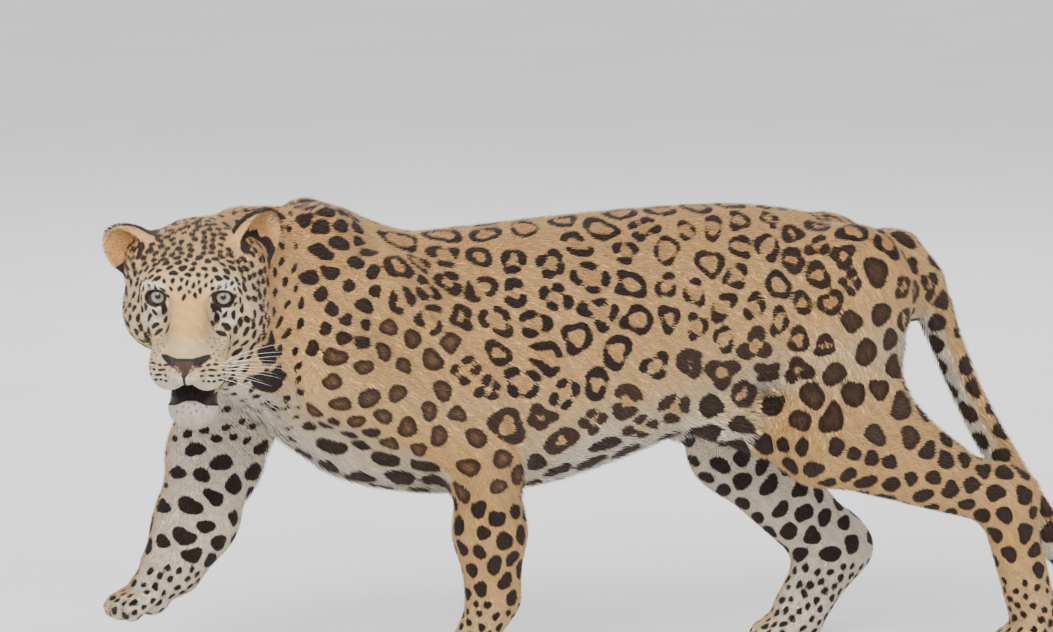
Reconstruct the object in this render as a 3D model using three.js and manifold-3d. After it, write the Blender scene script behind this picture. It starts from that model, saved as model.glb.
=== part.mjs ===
// A life-size leopard in mid stride: it walks towards -X with its left side to -Y, turns its head
// to its left, and lifts the right forepaw clear of the floor. Millimetres, +Z up, floor at z = 0.
//
// The whole body is one smooth signed field (negative inside) that joins a barrel-shaped trunk,
// tapered muscles between named joints, and the lumps and hollows of the skull. Each named part
// is meshed from that field at its own grain, then trimmed by the flat cuts it shares with its
// neighbours. Ears, eyes and tail lengths are made the same way or from plain solids.
import * as THREE from "three";
import { mergeVertices } from "three/addons/utils/BufferGeometryUtils.js";
import Module from "manifold-3d";

const wasm = await Module();
wasm.setup();

// Driving sizes
const GAP = 0.3; // space left between two parts that touch
const CUT_REACH = 3000; // far larger than the animal
const RIM = 100; // field value given to the edge of a grid, so that every mesh closes
const FUR_BLEND = 26; // how softly muscles run into each other
const GRAIN = 1.28; // coarseness of every grid the surface is drawn on
const FLOOR_LEVEL = -14; // height of the floor in the frame of the joints below
const FLOOR_SHIFT = [-150, 34, 14]; // moves the middle of the whole outline to the origin

// Joints of the skeleton, [x, y, z]
const JOINT = {
  bladeTopLeft: [-335, -44, 590],
  shoulderLeft: [-320, -92, 415],
  elbowLeft: [-126, -90, 302],
  wristLeft: [-106, -54, 96],
  palmLeft: [-130, -46, 32],
  bladeTopRight: [-342, 44, 588],
  shoulderRight: [-440, 82, 392],
  elbowRight: [-436, 84, 262],
  wristRight: [-519, 62, 138],
  palmRight: [-553, 55, 106],
  hipLeft: [388, -60, 500],
  kneeLeft: [338, -102, 302],
  hockLeft: [598, -86, 208],
  ballLeft: [646, -80, 32],
  hipRight: [378, 60, 500],
  kneeRight: [268, 98, 262],
  hockRight: [412, 98, 112],
  ballRight: [362, 92, 28],
};

// Trunk stations every 100 mm from the breast to the rump: height of back and belly, half width
const TRUNK_START = -430;
const TRUNK_STEP = 100;
const TRUNK_BACK = [548, 604, 594, 598, 606, 612, 616, 612, 590, 534];
const TRUNK_BELLY = [352, 262, 232, 226, 233, 260, 296, 330, 366, 430];
const TRUNK_WIDTH = [66, 102, 122, 130, 132, 126, 116, 112, 98, 60];
const TRUNK_CAP = 42; // length of the rounded end beyond the first and the last station
const TRUNK_LEAN = 0.13; // the section is this much narrower at the spine, wider at the belly

// Muscles: [from, radius, to, radius, width across the body over height]
const MUSCLES = [
  // neck and throat
  [[-300, 0, 478], 128, [-452, -40, 522], 90, 0.82],
  [[-345, 0, 392], 92, [-470, -72, 462], 62, 0.9],
  [[-330, 0, 560], 70, [-440, -24, 580], 56, 0.8],
  // left shoulder, upper arm, forearm
  [JOINT.bladeTopLeft, 46, JOINT.shoulderLeft, 66, 0.78],
  [JOINT.shoulderLeft, 68, JOINT.elbowLeft, 50, 0.78],
  [[-258, -80, 520], 56, [-126, -90, 334], 50, 0.7],
  [JOINT.elbowLeft, 54, [-114, -68, 190], 47, 0.86],
  [[-114, -68, 190], 47, JOINT.wristLeft, 39, 0.86],
  // right shoulder, upper arm, forearm
  [JOINT.bladeTopRight, 46, JOINT.shoulderRight, 64, 0.78],
  [JOINT.shoulderRight, 66, [-474, 84, 286], 48, 0.78],
  [[-322, 76, 512], 54, JOINT.elbowRight, 42, 0.7],
  [JOINT.elbowRight, 42, [-484, 78, 198], 48, 0.86],
  [[-474, 84, 286], 50, [-484, 76, 198], 52, 0.86],
  [[-484, 76, 198], 52, JOINT.wristRight, 45, 0.9],
  // left thigh, calf, foot
  [JOINT.hipLeft, 88, JOINT.kneeLeft, 66, 0.66],
  [[402, -62, 470], 62, [404, -94, 344], 52, 0.7],
  [[404, -94, 344], 52, [500, -92, 262], 38, 0.8],
  [JOINT.kneeLeft, 66, JOINT.hockLeft, 42, 0.72],
  [JOINT.hockLeft, 40, JOINT.ballLeft, 33, 0.84],
  [[592, -87, 224], 24, [630, -86, 212], 20, 0.8],
  // right thigh, calf, foot
  [JOINT.hipRight, 88, JOINT.kneeRight, 66, 0.66],
  [[416, 60, 468], 62, [330, 92, 322], 54, 0.7],
  [JOINT.kneeRight, 62, JOINT.hockRight, 47, 0.74],
  [JOINT.hockRight, 44, JOINT.ballRight, 38, 0.84],
  [[420, 98, 132], 24, [440, 99, 114], 22, 0.8],
  // folds of loose skin between belly and knee
  [[190, -70, 336], 42, [318, -96, 296], 44, 0.5],
  [[150, 66, 318], 38, [250, 90, 292], 44, 0.5],
  // root of the tail
  [[440, 0, 528], 42, [500, 0, 492], 36, 0.9],
];

// Paws: ball of the foot, direction of the toes in plan (degrees from -X towards -Y), spread and
// size of the four toes, and how far the toes and the pad drop below the ball
const TOE_SPREAD = [-25, -9, 9, 25];
const TOE_SHORT = [9, 0, 0, 9]; // outer toes end this much behind the middle pair
const PAWS = [
  { wrist: JOINT.wristLeft, ball: JOINT.palmLeft, turn: 4, reach: 52, toe: 18, drop: 33, pad: 24 },
  { wrist: JOINT.wristRight, ball: JOINT.palmRight, turn: 12, reach: 46, toe: 17, drop: 20, pad: 10 },
  { wrist: JOINT.hockLeft, ball: JOINT.ballLeft, turn: 4, reach: 56, toe: 16.5, drop: 34, pad: 24 },
  { wrist: JOINT.hockRight, ball: JOINT.ballRight, turn: 6, reach: 54, toe: 16.5, drop: 31, pad: 22 },
];

// Tail: centre line from the rump to the tip, and its radius along the way
const TAIL_LINE = [
  [470, 0, 530], [508, 0, 484], [540, 0, 412], [572, 0, 336], [618, 0, 252], [668, 0, 168],
  [722, 4, 100], [784, 10, 66], [846, 16, 72], [896, 20, 106], [922, 22, 158],
];
const TAIL_RADIUS = [40, 33, 29, 28, 28, 27, 26, 25, 24, 22, 15];

// Head frame: middle of the skull, heading away from -Y towards -X, and nod below the horizon
const SKULL = [-516, -88, 530];
const HEADING = 19;
const NOD = 25;

// Skull lumps in the head's own frame, [forward, left, up] and their three radii, and the blend.
// Those off the middle are mirrored to both sides.
const LUMPS = [
  [[-24, 0, 22], [84, 76, 62], 20], // braincase
  [[-18, 56, 32], [44, 40, 40], 20], // base of the ear
  [[26, 26, 34], [46, 40, 34], 18], // brow
  [[4, 56, -22], [56, 44, 54], 22], // cheek
  [[-24, 48, -58], [50, 40, 44], 24], // ruff below the ear
  [[113, 25, -45], [30, 26, 28], 9], // whisker pad
  [[142, 0, -31], [17, 26, 15], 8], // nose
  [[99, 0, -122], [29, 32, 24], 14], // chin
];
// Tapered bars of the head: [from, radius, to, radius, blend], mirrored likewise
const BARS = [
  [[34, 0, 34], 32, [130, 0, -27], 22, 16], // bridge of the nose
  [[46, 20, -14], 37, [104, 21, -38], 27, 16], // upper jaw
  [[6, 0, -68], 46, [90, 0, -112], 28, 18], // lower jaw
];
const EYE = { at: [46, 43, 23], radius: 18.5, lid: 22.5, wide: 13.5, high: 10.5, outward: 6, lift: 27 };
const MOUTH = { at: [99, 0, -89], size: [44, 37, 7], blend: 4 };
const HOLLOWS = [
  [[72, 45, 30], [17, 18, 15], 12], // eye socket
  [[84, 37, 3], [22, 9, 14], 14], // dip between eye and muzzle
];
const NOSTRIL = { inner: [155, 9, -23], outer: [134, 26, -16], radius: 4.4 };
const PHILTRUM = { top: [160, 0, -46], bottom: [146, 0, -78], radius: 3 };

// Ears in the head frame: root, tip direction, direction of the opening
const EAR = { long: 46, wide: 38, deep: 26, wall: 8.5 };
const EARS = {
  left: { at: [-32, 72, 56], tip: [-0.3, 0.6, 0.74], open: [0.78, 0.58, -0.1] },
  right: { at: [-24, -74, 40], tip: [-0.14, -0.8, 0.58], open: [0.86, -0.34, 0.1] },
};

const radians = THREE.MathUtils.degToRad;
const vec = (p) => new THREE.Vector3(...p);

// Soft union and soft cut of two field values
function join(a, b, k) {
  return Math.min(a, b) - Math.max(k - Math.abs(a - b), 0) ** 2 / (4 * k);
}
function carve(a, b, k) {
  return -join(-a, b, k);
}

// Distance to a bar that tapers from radius ra at a to rb at b, its Y shrunk by flat
function bar(x, y, z, a, ra, b, rb, flat = 1) {
  const [ux, uy, uz] = [b[0] - a[0], (b[1] - a[1]) / flat, b[2] - a[2]];
  const [px, py, pz] = [x - a[0], (y - a[1]) / flat, z - a[2]];
  const along = (px * ux + py * uy + pz * uz) / (ux * ux + uy * uy + uz * uz);
  const t = Math.min(1, Math.max(0, along));
  return Math.hypot(px - t * ux, py - t * uy, pz - t * uz) - ra - t * (rb - ra);
}

// Distance to an ellipsoid, close enough near its surface
function lump(x, y, z, centre, radii) {
  const [px, py, pz] = [x - centre[0], y - centre[1], z - centre[2]];
  const scaled = Math.hypot(px / radii[0], py / radii[1], pz / radii[2]);
  const slope = Math.hypot(px / radii[0] ** 2, py / radii[1] ** 2, pz / radii[2] ** 2);
  return slope < 1e-9 ? -Math.min(...radii) : (scaled * (scaled - 1)) / slope;
}

// Smooth value of a station list at a place along the trunk
function station(values, place) {
  const last = values.length - 1;
  const s = Math.min(last, Math.max(0, place));
  const i = Math.min(last - 1, Math.floor(s));
  const t = s - i;
  const [p0, p1, p2, p3] = [-1, 0, 1, 2].map((d) => values[Math.min(last, Math.max(0, i + d))]);
  const bend = (2 * p0 - 5 * p1 + 4 * p2 - p3) * t * t + (3 * (p1 - p2) + p3 - p0) * t ** 3;
  return p1 + 0.5 * ((p2 - p0) * t + bend);
}

function trunk(x, y, z) {
  const place = (x - TRUNK_START) / TRUNK_STEP;
  const back = station(TRUNK_BACK, place);
  const belly = station(TRUNK_BELLY, place);
  const high = (back - belly) / 2;
  const up = (z - (back + belly) / 2) / high;
  const wide = station(TRUNK_WIDTH, place) * (1 - TRUNK_LEAN * Math.min(1, Math.max(-1, up)));
  const end = TRUNK_START + TRUNK_STEP * (TRUNK_BACK.length - 1);
  const beyond = Math.max(0, TRUNK_START - x, x - end) / TRUNK_CAP;
  return (Math.hypot(y / wide, up, beyond) - 1) * Math.min(wide, high);
}

// The head's own frame
const ahead = new THREE.Vector3(-Math.sin(radians(HEADING)), -Math.cos(radians(HEADING)), 0);
const leftward = new THREE.Vector3(0, 0, 1).cross(ahead);
const forward = ahead.clone().multiplyScalar(Math.cos(radians(NOD)));
forward.z = -Math.sin(radians(NOD));
const upward = forward.clone().cross(leftward);
const headFrame = new THREE.Matrix4().makeBasis(forward, leftward, upward).setPosition(...SKULL);
const intoHead = headFrame.clone().invert().elements;
const fromHead = (p) => vec(p).applyMatrix4(headFrame);

function toHead(x, y, z) {
  const m = intoHead;
  return [0, 1, 2].map((r) => m[r] * x + m[4 + r] * y + m[8 + r] * z + m[12 + r]);
}

// Eyelids: a shell round the eyeball with an almond-shaped opening
const lidOut = new THREE.Vector3(1, 0, 0);
lidOut.applyAxisAngle(new THREE.Vector3(0, 1, 0), -radians(EYE.lift));
lidOut.applyAxisAngle(new THREE.Vector3(0, 0, 1), radians(EYE.outward));
const lidAcross = new THREE.Vector3(0, 0, 1).cross(lidOut).normalize();
const lidUp = lidOut.clone().cross(lidAcross);

function lids(f, l, u, d) {
  const q = new THREE.Vector3(f - EYE.at[0], l - EYE.at[1], u - EYE.at[2]);
  d = join(d, q.length() - EYE.lid, 8);
  const out = q.dot(lidOut);
  if (out < 0) return d;
  const [across, up] = [q.dot(lidAcross) / EYE.wide, q.dot(lidUp) / EYE.high];
  const opening = (Math.hypot(across, up) - 1) * EYE.high;
  return carve(d, opening, 2.5);
}

// Half of the skull is drawn, the other half is its mirror image
function skull(f, side, u) {
  const l = Math.abs(side);
  let d = Infinity;
  for (const [centre, radii, k] of LUMPS) {
    const part = lump(f, l, u, centre, radii);
    d = d === Infinity ? part : join(d, part, k);
  }
  for (const [a, ra, b, rb, k] of BARS) d = join(d, bar(f, l, u, a, ra, b, rb), k);
  for (const [centre, radii, k] of HOLLOWS) d = carve(d, lump(f, l, u, centre, radii), k);
  if (Math.hypot(f - EYE.at[0], l - EYE.at[1], u - EYE.at[2]) < 60) d = lids(f, l, u, d);
  d = carve(d, lump(f, l, u, MOUTH.at, MOUTH.size), MOUTH.blend);
  if (f > 110) {
    const { inner, outer, radius } = NOSTRIL;
    d = carve(d, bar(f, l, u, inner, radius, outer, radius / 2), 3);
    const { top, bottom, radius: thin } = PHILTRUM;
    d = carve(d, bar(f, l, u, top, thin, bottom, thin), 3);
  }
  return d;
}

function paw(x, y, z, { wrist, ball, turn, reach, toe, drop, pad }) {
  const heel = [ball[0] + 4, ball[1], ball[2] - pad];
  let d = bar(x, y, z, wrist, toe * 1.7, ball, toe * 1.75);
  d = join(d, bar(x, y, z, ball, toe * 1.5, heel, toe * 1.45), 10);
  const [c, s] = [Math.cos(radians(turn)), Math.sin(radians(turn))];
  TOE_SPREAD.forEach((side, i) => {
    const long = reach - TOE_SHORT[i];
    const root = [ball[0] - 8 * c - side * s * 0.8, ball[1] - 8 * s + side * c * 0.8, ball[2] - 4];
    const tip = [ball[0] - long * c - side * s, ball[1] - long * s + side * c, ball[2] - drop];
    d = join(d, bar(x, y, z, root, toe * 0.95, tip, toe), 5);
  });
  return d;
}

// Ears: cups that open along their own direction
function makeEar({ at, tip, open }) {
  const along = vec(tip).normalize();
  const mouth = vec(open).addScaledVector(along, -vec(open).dot(along)).normalize();
  const across = along.clone().cross(mouth);
  return { at, along, mouth, across };
}
const EAR_FRAMES = { left: makeEar(EARS.left), right: makeEar(EARS.right) };

function ear(f, l, u, { at, along, mouth, across }) {
  const q = new THREE.Vector3(f - at[0], l - at[1], u - at[2]);
  const [s, o, t] = [q.dot(across), q.dot(mouth), q.dot(along)];
  const shell = lump(s, o, t, [0, 0, EAR.long * 0.3], [EAR.wide, EAR.deep, EAR.long]);
  const inside = [EAR.wide - EAR.wall, EAR.deep, EAR.long - EAR.wall];
  const cup = lump(s, o, t, [0, EAR.deep * 0.6, EAR.long * 0.34], inside);
  return carve(shell, cup, 5);
}

// Tail: short tapered bars along a smooth curve
const TAIL_PIECES = 40;
const tailCurve = new THREE.CatmullRomCurve3(TAIL_LINE.map(vec));
const tailPoints = tailCurve.getPoints(TAIL_PIECES).map((p) => p.toArray());
const tailRadius = (i) => station(TAIL_RADIUS, (i / TAIL_PIECES) * (TAIL_RADIUS.length - 1));

function tail(x, y, z) {
  let d = Infinity;
  for (let i = 0; i < TAIL_PIECES; i++) {
    const part = bar(x, y, z, tailPoints[i], tailRadius(i), tailPoints[i + 1], tailRadius(i + 1));
    d = Math.min(d, part);
  }
  return d;
}

// The whole animal
const WRIST_REACH = 220;
function body(x, y, z) {
  let d = trunk(x, y, z);
  for (const [a, ra, b, rb, flat] of MUSCLES) {
    d = join(d, bar(x, y, z, a, ra, b, rb, flat), FUR_BLEND);
  }
  for (const limb of PAWS) {
    if (Math.hypot(x - limb.ball[0], y - limb.ball[1]) > WRIST_REACH) continue;
    d = join(d, paw(x, y, z, limb), 14);
  }
  if (x > 420) d = join(d, tail(x, y, z), 16);
  if (x < -300) {
    const [f, l, u] = toHead(x, y, z);
    d = join(d, skull(f, l, u), 26);
    d = join(d, ear(f, l, u, EAR_FRAMES.left), 8);
    d = join(d, ear(f, l, u, EAR_FRAMES.right), 8);
  }
  return d;
}

// A grid line from bands [start, step], ... , [end]
function gridLine(bands) {
  const line = [];
  for (let i = 0; i + 1 < bands.length; i++) {
    const [from, step] = bands[i];
    const span = bands[i + 1][0] - from;
    const count = Math.max(1, Math.round(span / (step * GRAIN)));
    for (let n = 0; n < count; n++) line.push(from + (span * n) / count);
  }
  line.push(bands.at(-1)[0]);
  return line;
}

// Closed mesh of field < 0 inside the grid: one point in every cell that the surface crosses,
// drawn onto the surface, and one four-sided face round every grid edge that it crosses
function meshField(field, lines) {
  const count = lines.map((line) => line.length);
  const index = (c) => (c[0] * count[1] + c[1]) * count[2] + c[2];
  const value = new Float64Array(count[0] * count[1] * count[2]);
  const each = (low, high, visit) => {
    const c = [0, 0, 0];
    for (c[0] = low; c[0] < count[0] - high; c[0]++) {
      for (c[1] = low; c[1] < count[1] - high; c[1]++) {
        for (c[2] = low; c[2] < count[2] - high; c[2]++) visit([...c]);
      }
    }
  };
  each(0, 0, (c) => {
    const rim = c.some((n, axis) => n === 0 || n === count[axis] - 1);
    const d = field(...c.map((n, axis) => lines[axis][n]));
    value[index(c)] = rim ? Math.max(d, RIM) : d;
  });
  const moved = new Set();
  while (settle(value, count, index, moved)) continue;
  const points = [];
  const pointOf = new Map();
  each(0, 1, (c) => {
    const crossings = [];
    for (let axis = 0; axis < 3; axis++) {
      for (let side = 0; side < 4; side++) {
        const from = [...c];
        from[(axis + 1) % 3] += side & 1;
        from[(axis + 2) % 3] += side >> 1;
        const to = [...from];
        to[axis] += 1;
        const [a, b] = [value[index(from)], value[index(to)]];
        if (a < 0 === b < 0) continue;
        const p = from.map((n, k) => lines[k][n]);
        p[axis] += (a / (a - b)) * (lines[axis][to[axis]] - lines[axis][from[axis]]);
        crossings.push(p);
      }
    }
    if (!crossings.length) return;
    const mean = [0, 1, 2].map((k) => crossings.reduce((sum, p) => sum + p[k], 0) / crossings.length);
    const rim = c.some((n, axis) => n === 0 || n === count[axis] - 2);
    const cell = Math.min(...c.map((n, axis) => lines[axis][n + 1] - lines[axis][n]));
    pointOf.set(index(c), points.length);
    points.push(rim ? mean : ontoSurface(field, mean, cell * 0.45));
  });
  const triangles = [];
  each(0, 1, (c) => {
    for (let axis = 0; axis < 3; axis++) {
      if (!c[(axis + 1) % 3] || !c[(axis + 2) % 3]) continue;
      const next = [...c];
      next[axis] += 1;
      const [a, b] = [value[index(c)], value[index(next)]];
      if (a < 0 === b < 0) continue;
      const quad = [[1, 1], [0, 1], [0, 0], [1, 0]].map(([u, v]) => {
        const around = [...c];
        around[(axis + 1) % 3] -= u;
        around[(axis + 2) % 3] -= v;
        return pointOf.get(index(around));
      });
      if (a >= 0) quad.reverse();
      const middle = (m, n) => points[m].map((v, k) => (v + points[n][k]) / 2);
      const offSurface = (m, n) => Math.abs(field(...middle(m, n)));
      const [p, q, r, s] = quad;
      if (offSurface(p, r) <= offSurface(q, s)) triangles.push(p, q, r, p, r, s);
      else triangles.push(q, r, s, q, s, p);
    }
  });
  return { points, triangles };
}

// Where the four corners of a grid face lie in and out by turns, the surface would touch itself:
// the corner nearest the surface changes sides, once at most. Returns how many did.
function settle(value, count, index, moved) {
  let flips = 0;
  for (let i = 0; i < value.length; i++) {
    const row = Math.floor(i / count[2]);
    const c = [Math.floor(row / count[1]), row % count[1], i % count[2]];
    for (let axis = 0; axis < 3; axis++) {
      const [u, v] = [(axis + 1) % 3, (axis + 2) % 3];
      if (c[u] === count[u] - 1 || c[v] === count[v] - 1) continue;
      const corners = [[0, 0], [1, 0], [1, 1], [0, 1]].map(([du, dv]) => {
        const corner = [...c];
        corner[u] += du;
        corner[v] += dv;
        return index(corner);
      });
      const inside = corners.map((n) => value[n] < 0);
      if (inside[0] !== inside[2] || inside[1] !== inside[3] || inside[0] === inside[1]) continue;
      const free = corners.filter((n) => value[n] < RIM && !moved.has(n));
      if (!free.length) continue;
      const nearest = free.sort((a, b) => Math.abs(value[a]) - Math.abs(value[b]))[0];
      value[nearest] = value[nearest] < 0 ? 1e-3 : -1e-3;
      moved.add(nearest);
      flips++;
    }
  }
  return flips;
}

// Moves a point along the slope of the field onto its surface, by no more than limit
function ontoSurface(field, start, limit) {
  const reach = 0.5;
  let p = [...start];
  for (let pass = 0; pass < 3; pass++) {
    const d = field(...p);
    const slope = [0, 1, 2].map((axis) => {
      const [high, low] = [[...p], [...p]];
      high[axis] += reach;
      low[axis] -= reach;
      return (field(...high) - field(...low)) / (2 * reach);
    });
    const steep = Math.max(0.05, slope.reduce((sum, v) => sum + v * v, 0));
    p = p.map((v, axis) => v - (d * slope[axis]) / steep);
  }
  const moved = Math.hypot(...p.map((v, axis) => v - start[axis]));
  const share = Math.min(1, limit / Math.max(moved, 1e-9));
  return p.map((v, axis) => start[axis] + (v - start[axis]) * share);
}

// Solids from point lists and from three.js shapes, and back
function solidOf(points, triangles) {
  const vertProperties = new Float32Array(points.flat());
  const triVerts = new Uint32Array(triangles);
  return new wasm.Manifold(new wasm.Mesh({ numProp: 3, vertProperties, triVerts }));
}
function solidFromGeometry(geometry) {
  const bare = new THREE.BufferGeometry();
  bare.setAttribute("position", geometry.getAttribute("position"));
  bare.setIndex(geometry.getIndex());
  const merged = mergeVertices(bare, 1e-4);
  const vertProperties = new Float32Array(merged.getAttribute("position").array);
  const triVerts = new Uint32Array(merged.index.array);
  return new wasm.Manifold(new wasm.Mesh({ numProp: 3, vertProperties, triVerts }));
}
function geometryOf(solid) {
  const mesh = solid.getMesh();
  const place = new Float32Array(mesh.numVert * 3);
  for (let i = 0; i < mesh.numVert; i++) {
    for (let k = 0; k < 3; k++) place[3 * i + k] = mesh.vertProperties[i * mesh.numProp + k];
  }
  const geometry = new THREE.BufferGeometry();
  geometry.setAttribute("position", new THREE.BufferAttribute(place, 3));
  geometry.setIndex(new THREE.BufferAttribute(new Uint32Array(mesh.triVerts), 1));
  geometry.translate(...FLOOR_SHIFT);
  geometry.computeVertexNormals();
  return geometry;
}

// Flat cuts. A region is the space in front of all its planes, each [point, direction inward];
// grown by a gap it is what a neighbour has to leave free.
function trimmed(solid, planes, grow = 0) {
  for (const [point, inward] of planes) {
    const normal = vec(inward).normalize();
    solid = solid.trimByPlane(normal.toArray(), vec(point).dot(normal) - grow);
  }
  return solid;
}
const everything = solidFromGeometry(new THREE.BoxGeometry(CUT_REACH, CUT_REACH, CUT_REACH));
const regionSolid = (planes) => trimmed(everything, planes, GAP);
const largest = (solid) => solid.decompose().sort((a, b) => b.volume() - a.volume())[0];

const inHead = (point, direction) => {
  const tip = fromHead(point.map((v, k) => v + direction[k])).sub(fromHead(point));
  return [fromHead(point).toArray(), tip.toArray()];
};
const earPlane = (side) => {
  const { at, along } = EAR_FRAMES[side];
  return inHead(vec(at).addScaledVector(along, 4).toArray(), along.toArray());
};
const FLOOR = [[0, 0, FLOOR_LEVEL], [0, 0, 1]];
const toLeft = (y) => [[0, y, 0], [0, -1, 0]];
const toRight = (y) => [[0, y, 0], [0, 1, 0]];
const behind = (x) => [[x, 0, 0], [1, 0, 0]];
const above = (z) => [[0, 0, z], [0, 0, 1]];
const before = (x) => [[x, 0, 0], [-1, 0, 0]];
const COAT = 0xb98d58;
const PALE = 0xd6c39c;

// Parts in the order in which they claim their space. Each has the planes of its region and the
// grid it is meshed on: bands along X, Y and Z, or along the head's own axes.
const PARTS = [
  {
    name: "ear_left",
    region: [earPlane("left"), inHead([-68, 0, 0], [1, 0, 0]), above(540), before(-398)],
    head: true,
    grid: [[[-90, 6.9], [20]], [[24, 6.9], [136]], [[26, 6.9], [124]]],
  },
  {
    name: "ear_right",
    region: [earPlane("right"), inHead([-60, 0, 0], [1, 0, 0]), above(540)],
    head: true,
    grid: [[[-90, 6.9], [20]], [[-150, 6.9], [-34]], [[8, 6.9], [112]]],
  },
  {
    name: "head",
    region: [[[-470, -43, 525], [-0.68, -0.72, 0.1]], [[-500, -60, 330], [0.2, 0, 1]]],
    head: true,
    grid: [
      [[-160, 19], [10, 11], [40, 5], [80, 7.5], [172]],
      [[-154, 16], [-70, 7], [-62, 4.6], [-28, 7], [28, 4.6], [62, 7], [70, 16], [154]],
      [[-206, 16], [-152, 7.5], [2, 4.6], [38, 8], [54, 13], [132]],
    ],
  },
  {
    name: "paw_front_left",
    region: [FLOOR, [[-108, -54, 104], [0, 0, -1]], before(-30), behind(-270), toLeft(30)],
    grid: [[[-230, 9.5], [-40]], [[-122, 9.5], [30]], [[-34, 9.5], [135]]],
  },
  {
    name: "forearm_left",
    region: [[[-112, -95, 280], [0, -0.67, -0.74]], before(0), behind(-280), toLeft(0)],
    grid: [[[-230, 18], [-20]], [[-170, 18], [20]], [[70, 19], [400]]],
  },
  {
    name: "paw_front_right",
    region: [[[-516, 64, 136], [-0.6, -0.1, -0.79]], before(-440)],
    grid: [[[-650, 9.5], [-440]], [[-30, 9.5], [140]], [[20, 9.5], [200]]],
  },
  {
    name: "forearm_right",
    region: [[[-440, 84, 300], [-0.479, 0, -0.878]], before(-300), toRight(-10)],
    grid: [[[-600, 18], [-330]], [[-20, 18], [170]], [[70, 19], [400]]],
  },
  {
    name: "paw_hind_left",
    region: [FLOOR, [[640, -80, 74], [0, 0, -1]], behind(480), toLeft(-38)],
    grid: [[[540, 9.5], [720]], [[-160, 9.5], [-10]], [[-34, 9.5], [110]]],
  },
  {
    name: "foot_left",
    region: [[[604, -85, 176], [0.3, 0, -0.95]], behind(500), toLeft(-38)],
    grid: [[[540, 15], [720]], [[-160, 15], [-10]], [[40, 17], [240]]],
  },
  {
    name: "shank_left",
    region: [[[420, -95, 288], [0.9, 0, -0.42]], behind(300), toLeft(-38)],
    grid: [[[360, 20], [680]], [[-180, 18], [0]], [[120, 19], [460]]],
  },
  {
    name: "thigh_left",
    region: [[[380, -85, 378], [0, -0.646, -0.763]], behind(200), before(474), toLeft(-10)],
    grid: [[[190, 26], [540]], [[-230, 24], [30]], [[180, 26], [540]]],
  },
  {
    name: "paw_hind_right",
    region: [FLOOR, [[372, 92, 62], [-0.5, 0, -0.86]], before(450), behind(200), toRight(20)],
    grid: [[[240, 9.5], [430]], [[0, 9.5], [165]], [[-34, 9.5], [120]]],
  },
  {
    name: "foot_right",
    region: [[[412, 98, 108], [0, 0, -1]], behind(280), before(500), toRight(20)],
    grid: [[[280, 15], [520]], [[20, 15], [180]], [[10, 15], [190]]],
  },
  {
    name: "shank_right",
    region: [[[310, 98, 222], [0.69, 0, -0.72]], behind(200), before(500), toRight(20)],
    grid: [[[190, 19], [520]], [[10, 18], [190]], [[60, 19], [400]]],
  },
  {
    name: "thigh_right",
    region: [[[380, 85, 378], [0, 0.646, -0.763]], behind(185), before(474), toRight(10)],
    grid: [[[150, 26], [540]], [[-30, 24], [230]], [[120, 26], [540]]],
  },
  {
    name: "tail_tip",
    region: [[[700, 0, 128], [0.8, 0, -0.6]], behind(640), toRight(-40)],
    grid: [[[660, 15], [980]], [[-46, 12], [64]], [[18, 15], [220]]],
  },
  {
    name: "tail_middle",
    region: [[[576, 0, 320], [0.5, 0, -0.86]], behind(500), toRight(-44)],
    grid: [[[520, 17], [760]], [[-52, 13], [56]], [[60, 20], [420]]],
  },
  {
    name: "tail_base",
    region: [[[492, 0, 504], [0.54, 0, -0.84]], [[476, 0, 450], [0.96, 0, 0.27]], toRight(-52)],
    grid: [[[430, 18], [640]], [[-66, 15], [66]], [[260, 19], [600]]],
  },
  {
    name: "neck",
    region: [[[-400, 0, 545], [-0.83, -0.25, 0.5]]],
    grid: [[[-620, 22], [-260]], [[-200, 22], [180]], [[320, 22], [720]]],
  },
  {
    name: "chest",
    region: [before(-60)],
    grid: [[[-560, 26], [0]], [[-210, 25], [210]], [[180, 27], [700]]],
  },
  {
    name: "abdomen",
    region: [before(200)],
    grid: [[[-120, 32], [260]], [[-190, 26], [190]], [[190, 28], [680]]],
  },
  {
    name: "hips",
    region: [behind(-1000)],
    grid: [[[140, 28], [560]], [[-210, 26], [210]], [[240, 27], [700]]],
  },
];

// Builds every part, then takes from each the regions that came before it
const eyeCentres = [1, -1].map((side) => fromHead([EYE.at[0], EYE.at[1] * side, EYE.at[2]]));
const ball = (centre, radius) => {
  const shape = new THREE.SphereGeometry(radius, 16, 10);
  return solidFromGeometry(shape.translate(centre.x, centre.y, centre.z));
};
const leopard = new THREE.Group();
leopard.name = "leopard";

function add(name, solid, color, roughness) {
  const material = new THREE.MeshStandardMaterial({ color, roughness, metalness: 0 });
  const mesh = new THREE.Mesh(geometryOf(solid), material);
  mesh.name = name;
  leopard.add(mesh);
}

const claimed = [];
for (const { name, region, head, grid } of PARTS) {
  const field = head ? (f, l, u) => body(...fromHead([f, l, u]).toArray()) : body;
  const { points, triangles } = meshField(field, grid.map(gridLine));
  const placed = head ? points.map((p) => fromHead(p).toArray()) : points;
  let solid = trimmed(solidOf(placed, triangles), region);
  for (const earlier of claimed) solid = solid.subtract(earlier);
  if (name === "head") {
    for (const centre of eyeCentres) solid = solid.subtract(ball(centre, EYE.radius + GAP));
  }
  claimed.push(regionSolid(region));
  add(name, largest(solid), name.startsWith("paw") ? PALE : COAT, 0.85);
}
["eye_left", "eye_right"].forEach((name, i) => {
  add(name, ball(eyeCentres[i], EYE.radius), 0x9fa886, 0.15);
});

export default leopard;
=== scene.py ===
"""A life-size leopard in mid stride, as a still museum model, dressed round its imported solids.

The animal walks towards -X with its left side to -Y and turns its head to its left. One skin
replaces every solid of flesh. It is drawn onto the same smooth signed field as the solids, in
millimetres in the frame of the joints, and lies inside them by the depth of the coat. The coat is
thin tufts of mesh that lie along the body, and it carries the same markings as the skin.
"""

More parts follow.
